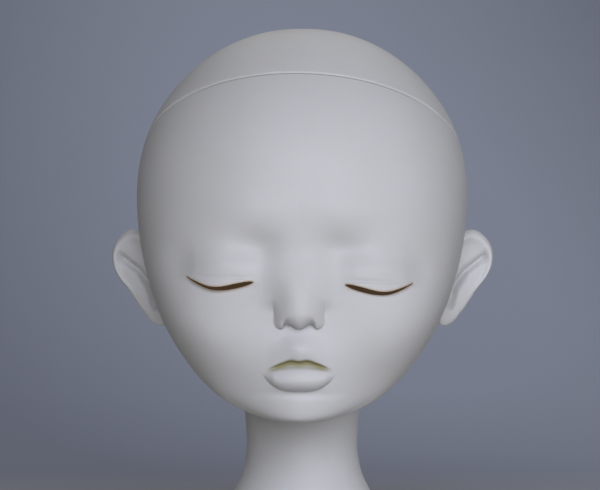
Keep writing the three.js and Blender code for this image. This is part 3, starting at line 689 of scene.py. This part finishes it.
def seam_rounding():
    """The ring that, cut away, rounds both edges of the seam."""
    turns = np.linspace(0, 2 * math.pi, 360, endpoint=False)
    edge = seam_edge(turns)
    ahead = np.roll(edge, -1, axis=0) - np.roll(edge, 1, axis=0)
    outward = np.cross(ahead, [0, 0, 1])
    outward /= np.linalg.norm(outward, axis=-1, keepdims=True)
    outward *= np.sign((outward * edge).sum(-1, keepdims=True))
    quarter = np.linspace(0, math.pi / 2, 7)
    below = [
        (
            -SEAM_ROUND * math.sin(a),
            -SEAM_ROUND - SEAM_LINE / 4 + (SEAM_ROUND - SEAM_ROUND * math.cos(a)),
        )
        for a in quarter
    ]
    above = [(out, SEAM_LINE - height) for out, height in reversed(below)]
    section = [(OVERRUN, below[0][1])] + below + above + [(OVERRUN, above[-1][1])]
    rings = np.array([
        [edge[i] + outward[i] * out + np.array([0, 0, height]) for out, height in section]
        for i in range(len(turns))
    ])
    flat = np.array(SEAM_FRAME)
    return ring_mesh("rounding", rings @ flat[:3, :3].T + flat[:3, 3], closed=True)


# The head's cuts

WELL_RADIUS = 0.0066
WELL_ACROSS = 0.0136
WELL_DEPTH = 0.0186
WELL_RISE = 0.0246
SLOT_WIDTH = 0.0036
SLOT_LENGTH = 0.0134
SOCKET_SEAT = 0.003
SOCKET_FLARE = 0.015


def eye_slit(side):
    """A blade in the slit's outline, from the eye's well out through the face."""
    top = SLIT_CURVE[:, 1] + SLIT_CURVE[:, 2]
    bottom = SLIT_CURVE[:, 1] - SLIT_CURVE[:, 2]
    across = np.append(SLIT_CURVE[:, 0], SLIT_CURVE[::-1, 0]) * SKULL_HALF_WIDTH * side
    up = CHIN_HEIGHT + np.append(top, bottom[::-1]) * HEAD_HEIGHT - EYE_SKEW * across
    rings = np.array([
        np.stack([across, np.full(len(across), depth), up], axis=-1)
        for depth in (-WELL_DEPTH, -FACE_REACH - 2 * OVERRUN)
    ])
    return ring_mesh("slit", rings)


def hook_slot():
    """The long slot in the socket's floor that the hook drops through."""
    straight = (SLOT_LENGTH - SLOT_WIDTH) / 2
    half = np.linspace(0, math.pi, 24)
    end = SLOT_WIDTH / 2
    outline = [(end * math.cos(a), straight + end * math.sin(a)) for a in half]
    outline += [(-x, -y) for x, y in outline]
    levels = (BALL_HEIGHT, BALL_HEIGHT + FLOOR_RADIUS + OVERRUN)
    return ring_mesh("slot", np.array([[(x, y, z) for x, y in outline] for z in levels]))


def socket():
    """The dome that the neck's ball turns in, with a flared mouth under it."""
    seat_radius = math.sqrt(SOCKET_RADIUS**2 - SOCKET_SEAT**2)
    low = BALL_HEIGHT + SOCKET_SEAT - (SOCKET_SEAT + 2 * OVERRUN + BALL_RISE)
    start = math.asin(SOCKET_SEAT / SOCKET_RADIUS)
    angles = np.linspace(start, math.pi / 2, 32, endpoint=False)
    dome = [
        (SOCKET_RADIUS * math.cos(a), BALL_HEIGHT + SOCKET_RADIUS * math.sin(a)) for a in angles
    ]
    return turned("socket", [
        (0, low),
        (SOCKET_FLARE, low),
        (seat_radius + OVERRUN / 4, BALL_HEIGHT + SOCKET_SEAT - OVERRUN),
        *dome,
        (0, BALL_HEIGHT + SOCKET_RADIUS),
    ])


def hollow():
    """The room inside the head, less the socket's floor and the magnets' bosses."""
    space = plain_skin(WALL)
    for side in (-1, 1):
        well = ball(WELL_RADIUS, [side * WELL_ACROSS, -WELL_DEPTH, CHIN_HEIGHT + WELL_RISE])
        combine(space, well, "UNION")
    combine(space, ball(FLOOR_RADIUS, [0, 0, BALL_HEIGHT]), "DIFFERENCE")
    for place in PLACES:
        boss = seam_round(BOSS_RADIUS, -BOSS_DEPTH, SEAM_GAP + BOSS_DEPTH, place)
        combine(space, boss, "DIFFERENCE")
    return space


def lip_ring(clearance):
    """The lip that stands on the shell's rim, or with a clearance the groove that takes it."""
    ring = plain_skin(LIP_INSET - clearance)
    combine(ring, plain_skin(LIP_INSET + LIP_WIDTH + clearance), "DIFFERENCE")
    return combine(ring, seam_block(-OVERRUN, LIP_HEIGHT + clearance), "INTERSECT")


def head_pieces():
    """The head's shell and its cap."""
    walls = head_skin("doll_head_shell", FINE_ROWS, FINE_TURNS)
    for side in (1, -1):
        combine(walls, ear(side), "UNION")
    inside = hollow()
    hollow_tree = BVHTree.FromObject(inside, bpy.context.evaluated_depsgraph_get())
    combine(walls, inside, "DIFFERENCE")
    combine(walls, seam_rounding(), "DIFFERENCE")
    cap = copy_of(walls, "doll_head_cap")
    shell = combine(walls, seam_block(0, 2 * HEAD_HEIGHT), "DIFFERENCE")
    for cutter in (socket(), hook_slot(), eye_slit(1), eye_slit(-1)):
        combine(shell, cutter, "DIFFERENCE")
    combine(cap, seam_block(-2 * HEAD_HEIGHT, SEAM_LINE), "DIFFERENCE")
    combine(cap, lip_ring(SEAT_GAP), "DIFFERENCE")
    lip = lip_ring(0)
    pocket = MAGNET_RADIUS + SEAT_GAP
    deep = MAGNET_THICKNESS + SEAT_GAP
    for place in PLACES:
        combine(shell, seam_round(pocket, -deep, OVERRUN, place), "DIFFERENCE")
        notch = seam_round(pocket + LIP_WIDTH, -2 * OVERRUN, 2 * LIP_HEIGHT, place)
        combine(lip, notch, "DIFFERENCE")
        combine(cap, seam_round(pocket, SEAM_GAP - OVERRUN, SEAM_GAP + deep, place), "DIFFERENCE")
    combine(shell, lip, "UNION")
    mark_colours(shell, hollow_tree)
    return shell, cap


# The neck and what holds the head on it

# The neck's side from the foot up: how far out towards the foot's edge, and the height
FLARE_SHARES = [
    [1, 0.055],
    [0.56, 0.13],
    [0.27, 0.22],
    [0.12, 0.36],
    [0.035, 0.5],
    [0, 0.66],
    [0.008, 0.83],
]


def neck_piece():
    """The foot, the flare, the slim waist and the ball, bored for the elastic."""
    flare = [
        [NECK_RADIUS + out * (FOOT_RADIUS - NECK_RADIUS), up * BALL_HEIGHT]
        for out, up in FLARE_SHARES
    ]
    flare[0][1] = FOOT_EDGE
    flare.append([BALL_RADIUS, BALL_HEIGHT])
    side = curve_through(flare, 10)
    mouth_angle = math.acos(MOUTH_RADIUS / BALL_RADIUS)
    dome = [
        (BALL_RADIUS * math.cos(a), BALL_HEIGHT + BALL_RADIUS * math.sin(a))
        for a in np.linspace(0, mouth_angle, 25)[1:]
    ]
    edge = FOOT_EDGE / 2
    corner = [
        (FOOT_RADIUS - edge + edge * math.sin(a), edge - edge * math.cos(a))
        for a in np.linspace(0, math.pi / 2, 7)
    ]
    top = BALL_HEIGHT + BALL_RADIUS * math.sin(mouth_angle)
    body = turned("doll_neck", [(0, 0), *corner, *side, *dome, (0, top)], 160)
    throat = BALL_HEIGHT + BALL_RADIUS / 2
    mouth = MOUTH_RADIUS - OVERRUN / 4
    bore = turned("bore", [
        (0, -OVERRUN), (COUNTERBORE_RADIUS, -OVERRUN), (COUNTERBORE_RADIUS, COUNTERBORE_DEPTH),
        (BORE_RADIUS, COUNTERBORE_DEPTH), (BORE_RADIUS, throat), (mouth, top),
        (mouth, BALL_HEIGHT + 2 * BALL_RADIUS), (0, BALL_HEIGHT + 2 * BALL_RADIUS),
    ])
    return combine(body, bore, "DIFFERENCE")


CURL_RADIUS = ELASTIC_RADIUS + SEAT_GAP + WIRE_RADIUS
HOOK_SPREAD = 0.0051
HOOK_REST = FLOOR_RADIUS + SEAT_GAP + WIRE_RADIUS
HOOK_STEM_SHARES = [[0.9, 0.2], [0.45, 0.42], [0.08, 0.64], [0, 0.8], [0, 0.9]]  # out and up
TIP_FLAT_SHARE = 0.06  # how much of a wire's radius its round end leaves out
STRANDS = 8
BRAID_TURNS = 14
BRAID_LOW = 0.93
BRAID_RELIEF = 0.07


def tube(name, points, radius_at, normal, size=24, closed=False):
    """A round bar along points in a plane. radius_at gives its radius at each ring and turn."""
    points = np.asarray(points, float)
    if closed:
        along = np.roll(points, -1, axis=0) - np.roll(points, 1, axis=0)
    else:
        along = np.gradient(points, axis=0)
    along /= np.linalg.norm(along, axis=-1, keepdims=True)
    normal = np.asarray(normal, float)
    out = np.cross(along, normal)
    out /= np.linalg.norm(out, axis=-1, keepdims=True)
    around = np.linspace(0, 2 * math.pi, size, endpoint=False)
    radius = radius_at(np.arange(len(points))[:, None], around[None, :])[..., None]
    rings = points[:, None] + radius * (
        np.cos(around)[None, :, None] * out[:, None] + np.sin(around)[None, :, None] * normal
    )
    return ring_mesh(name, rings, closed=closed)


def hook_piece():
    """The S-hook's wire, from the curl round the elastic to the curl on the head's floor."""
    low = np.linspace(0.86 * math.pi, 2 * math.pi, 40)
    curl = [(CURL_RADIUS * math.cos(a), 0, BALL_HEIGHT + CURL_RADIUS * math.sin(a)) for a in low]

    def resting(share, distance):
        x = share * HOOK_SPREAD
        return (x, 0, BALL_HEIGHT + math.sqrt(distance**2 - x**2))

    stem = [
        (out * CURL_RADIUS, 0, BALL_HEIGHT + up * HOOK_REST)
        for out, up in HOOK_STEM_SHARES
    ]
    seat = [
        resting(-0.12, HOOK_REST - WIRE_RADIUS / 3),
        resting(-0.45, HOOK_REST + WIRE_RADIUS / 12),
        resting(-0.8, HOOK_REST + WIRE_RADIUS / 3),
    ]
    shoulder = BALL_HEIGHT + HOOK_REST + HOOK_SPREAD - WIRE_RADIUS
    bend = [
        (HOOK_SPREAD * math.cos(a), 0, shoulder + HOOK_SPREAD * math.sin(a))
        for a in np.linspace(1.14 * math.pi, -0.12 * math.pi, 15)
    ]
    tip = [resting(0.84, HOOK_REST + WIRE_RADIUS / 4), resting(0.8, HOOK_REST - 0.9 * WIRE_RADIUS)]
    rest = curve_through([curl[-1], *stem, *seat, *bend, *tip], 10)
    path = np.vstack([curl[:-1], rest])
    gaps = np.append(0, np.cumsum(np.linalg.norm(np.diff(path, axis=0), axis=-1)))
    even = np.linspace(0, gaps[-1], 260)
    path = np.stack([np.interp(even, gaps, path[:, k]) for k in range(3)], axis=-1)
    ends = np.minimum(even, gaps[-1] - even) / WIRE_RADIUS

    def radius_at(ring, turn):
        from_end = np.clip(1 - ends[ring] - TIP_FLAT_SHARE, 0, 1)
        return WIRE_RADIUS * np.sqrt(np.clip(1 - from_end**2, 0.02, 1)) + 0 * turn

    return tube("doll_s_hook", path, radius_at, (0, 1, 0))


def elastic_piece():
    """The braided elastic: over the hook's curl, down both sides and under the anchor bar."""
    bar_height = COUNTERBORE_DEPTH - SEAT_GAP - BAR_RADIUS
    radius = BAR_RADIUS + SEAT_GAP + ELASTIC_RADIUS
    top = BALL_HEIGHT - CURL_RADIUS
    points = [(0, CURL_RADIUS * math.cos(a), top + CURL_RADIUS * math.sin(a))
              for a in np.linspace(0, math.pi, 60)]
    points += [(0, -CURL_RADIUS - (radius - CURL_RADIUS) * t, top + (bar_height - top) * t)
               for t in np.linspace(0, 1, 80)[1:-1]]
    points += [(0, radius * math.cos(a), bar_height + radius * math.sin(a))
               for a in np.linspace(math.pi, 2 * math.pi, 60)]
    points += [(0, radius + (CURL_RADIUS - radius) * t, bar_height + (top - bar_height) * t)
               for t in np.linspace(0, 1, 80)[1:-1]]
    count = len(points)

    def radius_at(ring, turn):
        run = 2 * math.pi * BRAID_TURNS * ring / count
        round_bar = STRANDS / 2 * turn
        weave = np.abs(np.sin(round_bar + run)) * np.abs(np.sin(round_bar - run))
        return ELASTIC_RADIUS * (BRAID_LOW + BRAID_RELIEF * weave)

    return tube("doll_elastic", points, radius_at, (1, 0, 0), size=32, closed=True)


# Materials

def material(name, colour, roughness, metallic=0.0):
    made = bpy.data.materials.new(name)
    made.use_nodes = True
    shader = made.node_tree.nodes["Principled BSDF"]
    shader.inputs["Base Color"].default_value = (*colour, 1)
    shader.inputs["Roughness"].default_value = roughness
    shader.inputs["Metallic"].default_value = metallic
    return made, made.node_tree, shader


def noise(tree, scale, detail=4, roughness=0.55):
    place = tree.nodes.new("ShaderNodeTexCoord")
    texture = tree.nodes.new("ShaderNodeTexNoise")
    texture.inputs["Scale"].default_value = scale
    texture.inputs["Detail"].default_value = detail
    texture.inputs["Roughness"].default_value = roughness
    tree.links.new(place.outputs["Object"], texture.inputs["Vector"])
    return texture.outputs["Fac"]


def ramp(tree, value, stops):
    made = tree.nodes.new("ShaderNodeValToRGB")
    elements = made.color_ramp.elements
    while len(elements) < len(stops):
        elements.new(0.5)
    for element, (place, colour) in zip(elements, stops):
        element.position = place
        element.color = (*colour, 1)
    tree.links.new(value, made.inputs["Fac"])
    return made.outputs["Color"]


def spread(tree, value, low, high):
    made = tree.nodes.new("ShaderNodeMapRange")
    made.inputs["To Min"].default_value = low
    made.inputs["To Max"].default_value = high
    tree.links.new(value, made.inputs["Value"])
    return made.outputs["Result"]


def mixed(tree, base, share, tint):
    """A colour that turns to tint where share is 1. No base is black."""
    mix = tree.nodes.new("ShaderNodeMix")
    mix.data_type = "RGBA"
    mix.inputs[6].default_value = (0, 0, 0, 1)
    mix.inputs[7].default_value = (*tint, 1)
    tree.links.new(share, mix.inputs[0])
    if base is not None:
        tree.links.new(base, mix.inputs[6])
    return mix.outputs[2]


def tinted(tree, base, attribute, tint):
    """A colour that turns to tint where a vertex attribute is 1."""
    place = tree.nodes.new("ShaderNodeAttribute")
    place.attribute_name = attribute
    return mixed(tree, base, place.outputs["Fac"], tint)


def gradient(tree, kind, middle, reach, turn=0):
    """A soft change from 0 to 1 over an object, to the middle of a round patch or along a line."""
    place = tree.nodes.new("ShaderNodeTexCoord")
    away = tree.nodes.new("ShaderNodeMapping")
    away.vector_type = "TEXTURE"
    away.inputs["Location"].default_value = middle
    away.inputs["Rotation"].default_value = (0, 0, turn)
    away.inputs["Scale"].default_value = reach
    tree.links.new(place.outputs["Object"], away.inputs["Vector"])
    made = tree.nodes.new("ShaderNodeTexGradient")
    made.gradient_type = kind
    tree.links.new(away.outputs["Vector"], made.inputs["Vector"])
    return made.outputs["Fac"]


def bump(tree, shader, value, depth, strength=1.0):
    made = tree.nodes.new("ShaderNodeBump")
    made.inputs["Distance"].default_value = depth
    made.inputs["Strength"].default_value = strength
    tree.links.new(value, made.inputs["Height"])
    tree.links.new(made.outputs["Normal"], shader.inputs["Normal"])


RESIN = (0.575, 0.572, 0.575)
RESIN_DEEP = (0.55, 0.545, 0.542)
# Painted warm shade round the eye slits' edges
SLIT_PAINTED_SHADE = (0.4, 0.26, 0.12)
# Painted shade in the recess between the lips
LIPS_PAINTED_SHADE = (0.27, 0.245, 0.115)
# Painted glow inside the skull, seen through the slits
PAINTED_INSIDE_GLOW = (0.033, 0.02, 0.01)  # in place of the light that comes through the resin
STEEL = (0.5, 0.5, 0.51)
STEEL_SHADES = [(0.3, (0.42, 0.42, 0.43)), (0.7, (0.56, 0.56, 0.57))]
NICKEL = (0.62, 0.61, 0.58)
NICKEL_SHADES = [(0.3, (0.56, 0.55, 0.52)), (0.7, (0.66, 0.65, 0.62))]
ELASTIC = (0.66, 0.64, 0.6)
ELASTIC_SHADES = [(0.25, (0.5, 0.48, 0.43)), (0.7, (0.72, 0.7, 0.66))]
# Painted light on the resin: painted warm shade at the slits' edges and between the lips, and a
# painted glow inside the skull
SLIT_PAINTED_SHADE_STRENGTH = 0.7
SLIT_PAINTED_SHADE_SPREAD_SHARE = 0.003
LIPS_PAINTED_SHADE_SHARES = [0.005, 0.007]  # under and over the line between the lips
LIPS_PAINTED_SHADE_ENDS = [0.6, 1.05]  # where it fades along the mouth
FACE_START_SHARE = 0.6  # how far forward the painted part of the face starts
PAINTED_GLOW_ENDS = [0.45, 0.7]  # heights between which the glow fades out
PAINTED_GLOW_REACH = 0.1 * MM  # how close to the hollow's wall a point lies to count as on it


def resin_material():
    made, tree, shader = material("cast_resin", RESIN, 0.5)
    cloud = noise(tree, 55, 3)
    base = ramp(tree, cloud, [(0.3, RESIN_DEEP), (0.7, RESIN)])
    # Painted warm shade at the slits' edges (rim) and between the lips (parting)
    for attribute, tint in (("rim", SLIT_PAINTED_SHADE), ("parting", LIPS_PAINTED_SHADE)):
        base = tinted(tree, base, attribute, tint)
    tree.links.new(base, shader.inputs["Base Color"])
    # Painted glow, as emission, where light would come through the resin inside the skull
    glow = tinted(tree, None, "inside", PAINTED_INSIDE_GLOW)
    tree.links.new(glow, shader.inputs["Emission Color"])
    shader.inputs["Emission Strength"].default_value = 1
    tree.links.new(spread(tree, noise(tree, 180, 5), 0.44, 0.6), shader.inputs["Roughness"])
    shader.inputs["Subsurface Weight"].default_value = 0.2
    shader.inputs["Subsurface Radius"].default_value = (1.0, 0.7, 0.5)
    shader.inputs["Subsurface Scale"].default_value = 0.0012
    shader.inputs["Specular IOR Level"].default_value = 0.4
    bump(tree, shader, noise(tree, 2600, 2), 0.000012)
    return made


def steel_material():
    made, tree, shader = material("steel_wire", STEEL, 0.3, 1)
    scratches = noise(tree, 900, 6)
    tree.links.new(spread(tree, scratches, 0.2, 0.42), shader.inputs["Roughness"])
    base = ramp(tree, noise(tree, 300, 3), STEEL_SHADES)
    tree.links.new(base, shader.inputs["Base Color"])
    bump(tree, shader, scratches, 0.00001)
    return made


def magnet_material():
    made, tree, shader = material("nickel_plate", NICKEL, 0.16, 1)
    cloud = noise(tree, 700, 5)
    tree.links.new(spread(tree, cloud, 0.1, 0.26), shader.inputs["Roughness"])
    base = ramp(tree, cloud, NICKEL_SHADES)
    tree.links.new(base, shader.inputs["Base Color"])
    return made


def elastic_material():
    made, tree, shader = material("braided_elastic", ELASTIC, 0.85)
    fibre = noise(tree, 4000, 4)
    base = ramp(tree, fibre, ELASTIC_SHADES)
    tree.links.new(base, shader.inputs["Base Color"])
    shader.inputs["Sheen Weight"].default_value = 0.2
    bump(tree, shader, fibre, 0.00004)
    return made


def dress(piece, finish):
    piece.data.materials.clear()
    piece.data.materials.append(finish)


def mark_colours(shell, hollow_tree):
    """Marks where light is painted on the resin: warm shade at the slits' edges and at the lips'
    parting, and a glow in the hollow skull.
    """
    points = vertex_points(shell)
    across = points[:, 0] / SKULL_HALF_WIDTH
    up = (points[:, 2] - CHIN_HEIGHT) / HEAD_HEIGHT
    side = np.abs(across)
    line = np.interp(side, SLIT_CURVE[:, 0], SLIT_CURVE[:, 1])
    half = np.interp(side, SLIT_CURVE[:, 0], SLIT_CURVE[:, 2])
    past = np.maximum(np.maximum(SLIT_CURVE[0, 0] - side, side - SLIT_CURVE[-1, 0]), 0)
    level_up = eye_level(points[:, 0], up)
    from_slit = np.hypot(np.maximum(np.abs(level_up - line) - half, 0), past)
    lips = side / MOUTH_HALF_WIDTH_SHARE
    line, top = mouth_line(lips), lower_lip_top(lips)
    # The painted shade in the recess between the lips
    under, over = LIPS_PAINTED_SHADE_SHARES
    parting = smooth(up, top - under, line - under) * (1 - smooth(up, line, line + over))
    parting = parting * (1 - smooth(lips, *LIPS_PAINTED_SHADE_ENDS))
    front = points[:, 1] < -FACE_START_SHARE * FACE_REACH
    lit = [hollow_tree.find_nearest(Vector(p), PAINTED_GLOW_REACH)[0] is not None for p in points]
    # rim holds the painted warm shade round the slits' edges
    store(shell, "rim", SLIT_PAINTED_SHADE_STRENGTH * bell(from_slit, SLIT_PAINTED_SHADE_SPREAD_SHARE) * front)
    # parting holds the painted shade between the lips
    store(shell, "parting", parting * front)
    # inside holds the painted glow in the hollow skull
    store(shell, "inside", np.array(lit) * (1 - smooth(up, *PAINTED_GLOW_ENDS)))


def store(piece, name, values):
    attribute = piece.data.attributes.new(name, "FLOAT", "POINT")
    attribute.data.foreach_set("value", values.astype(np.float32))


# The set

# The backdrop's paper, with a painted pool of light behind the head and painted shade towards its
# edges
BACKDROP = (0.394, 0.432, 0.57)
BACKDROP_PAINTED_SHADE = (0.246, 0.271, 0.363)
PIXEL = 0.06 / 329  # metres to a pixel of the photograph, at the widest part of the head
PHOTO_WIDTH = 600
HEAD_MIDDLE = 302  # pixels from the photograph's left edge to the head's middle
SENSOR = 36  # millimetres
# Place, reach and turn of the pool of light painted on the backdrop
PAINTED_LIGHT_MIDDLE = (0.006, 0.55, 0.05)
PAINTED_LIGHT_REACH = (0.125, 0.48, 10)
PAINTED_LIGHT_TURN = math.radians(7)
TABLE = (0.6, 0.57, 0.475)  # the pale floor in front, which turns into the backdrop's colour
TABLE_START = 0.2  # how far behind the head the backdrop's colour is reached
TABLE_FADE = 0.3  # over how long a run it turns
SWEEP_HALF_WIDTH = 5
SWEEP_FRONT = -6
SWEEP_BACK = 1.75
SWEEP_BEND = 1.6
SWEEP_TOP = 2.6
ROOM_GLOW = (1, 0.97, 0.84)
ROOM_STRENGTH = 0.09
ROOM_WALL = (0.165, 0.168, 0.172)
# The lamps: name, place, power, size and colour
LAMPS = [
    ("key", (0.17, -1.5, 0.5), 22.8, 1.2, (0.865, 0.89, 1)),
    ("side", (1.3, -0.8, 0.3), 4.8, 1, (0.9, 0.92, 1)),
    ("back", (0, 1.1, 1), 3.6, 1, (1, 0.98, 0.88)),
]
CAMERA_DISTANCE = 0.9
CAMERA_TURN = math.radians(1)
TARGET_RISE = 0.03158  # chin to the height that the camera looks at


def sweep():
    """A floor that bends up into the backdrop."""
    start = SWEEP_BACK - SWEEP_BEND
    profile = [(SWEEP_FRONT, 0), (start, 0)]
    profile += [
        (start + SWEEP_BEND * math.sin(a), SWEEP_BEND - SWEEP_BEND * math.cos(a))
        for a in np.linspace(0, math.pi / 2, 25)[1:]
    ]
    profile.append((SWEEP_BACK, SWEEP_TOP))
    sides = (-SWEEP_HALF_WIDTH, SWEEP_HALF_WIDTH)
    points = [(x, y, z) for y, z in profile for x in sides]
    faces = [(2 * i, 2 * i + 1, 2 * i + 3, 2 * i + 2) for i in range(len(profile) - 1)]
    made = mesh_object("studio_sweep", points, faces)
    paper, tree, shader = material("backdrop_paper", BACKDROP, 0.95)
    # Painted pool of light on the backdrop, fading to painted shade at its edges
    painted_light_patch = gradient(tree, "SPHERICAL", PAINTED_LIGHT_MIDDLE, PAINTED_LIGHT_REACH, PAINTED_LIGHT_TURN)
    base = ramp(tree, painted_light_patch, [(0, BACKDROP_PAINTED_SHADE), (0.6, BACKDROP)])
    near = gradient(tree, "LINEAR", (0, TABLE_START, 0), (-TABLE_FADE, 1, 1), math.pi / 2)
    base = mixed(tree, base, near, TABLE)
    tree.links.new(base, shader.inputs["Base Color"])
    made.data.materials.append(paper)
    shade(made)


def lamp(name, place, target, power, size, colour):
    """A soft square lamp, turned to its target."""
    light = bpy.data.lights.new(name, "AREA")
    light.energy = power
    light.size = size
    light.color = colour
    made = bpy.data.objects.new(name, light)
    made.location = place
    made.rotation_euler = (Vector(target) - Vector(place)).to_track_quat("-Z", "Y").to_euler()
    bpy.context.scene.collection.objects.link(made)


def lights():
    face = (0, 0, CHIN_HEIGHT + HEAD_HEIGHT / 2)
    for name, place, power, size, colour in LAMPS:
        lamp(name, place, face, power, size, colour)


def room():
    """A weak light from all round, which shows past the sweep in the tone of the paper."""
    world = bpy.data.worlds.new("room")
    world.use_nodes = True
    tree = world.node_tree
    glow = tree.nodes["Background"]
    glow.inputs["Color"].default_value = (*ROOM_GLOW, 1)
    glow.inputs["Strength"].default_value = ROOM_STRENGTH
    wall = tree.nodes.new("ShaderNodeBackground")
    wall.inputs["Color"].default_value = (*ROOM_WALL, 1)
    ray = tree.nodes.new("ShaderNodeLightPath")
    seen = ray.outputs["Is Camera Ray"]
    for kind in ("Is Glossy Ray", "Is Transmission Ray"):
        either = tree.nodes.new("ShaderNodeMath")
        either.operation = "MAXIMUM"
        tree.links.new(seen, either.inputs[0])
        tree.links.new(ray.outputs[kind], either.inputs[1])
        seen = either.outputs["Value"]
    mix = tree.nodes.new("ShaderNodeMixShader")
    tree.links.new(seen, mix.inputs["Fac"])
    tree.links.new(glow.outputs["Background"], mix.inputs[1])
    tree.links.new(wall.outputs["Background"], mix.inputs[2])
    tree.links.new(mix.outputs["Shader"], tree.nodes["World Output"].inputs["Surface"])
    bpy.context.scene.world = world


def camera():
    """The photograph's view, almost straight ahead, at its frame and scale."""
    aside = (PHOTO_WIDTH / 2 - HEAD_MIDDLE) * PIXEL
    target = Vector((aside, 0, CHIN_HEIGHT + TARGET_RISE))
    made = bpy.data.objects.new("camera", bpy.data.cameras.new("camera"))
    made.data.sensor_width = SENSOR
    made.data.lens = SENSOR * CAMERA_DISTANCE / (PHOTO_WIDTH * PIXEL)
    made.data.clip_start = 0.01
    turn = Matrix.Rotation(CAMERA_TURN, 4, "Z") @ Matrix.Rotation(math.pi / 2, 4, "X")
    made.location = target + turn @ Vector((0, 0, CAMERA_DISTANCE))
    made.rotation_euler = turn.to_euler()
    bpy.context.scene.collection.objects.link(made)
    bpy.context.scene.camera = made


# The assembly

camera()
lights()
room()
sweep()
shell, cap = head_pieces()
neck = neck_piece()
hook = hook_piece()
elastic = elastic_piece()

resin = resin_material()
steel = steel_material()
for piece, node, body, slot, finish in [
    (shell, "head_shell", "head_body", "resin", resin),
    (cap, "head_cap", "cap_body", "resin", resin),
    (neck, "neck", "neck_body", "resin", resin),
    (hook, "s_hook", "hook_body", "steel", steel),
    (elastic, "elastic_loop", "elastic_body", "elastic", elastic_material()),
]:
    shade(piece)
    dress(piece, finish)
    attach(piece, body)
    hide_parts(node)
plate = magnet_material()
for name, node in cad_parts.items():
    if "magnet" in name:
        dress(node, plate)
    elif name == "elastic_anchor_bar":
        dress(node, steel)

bpy.context.scene.view_settings.view_transform = "Standard"
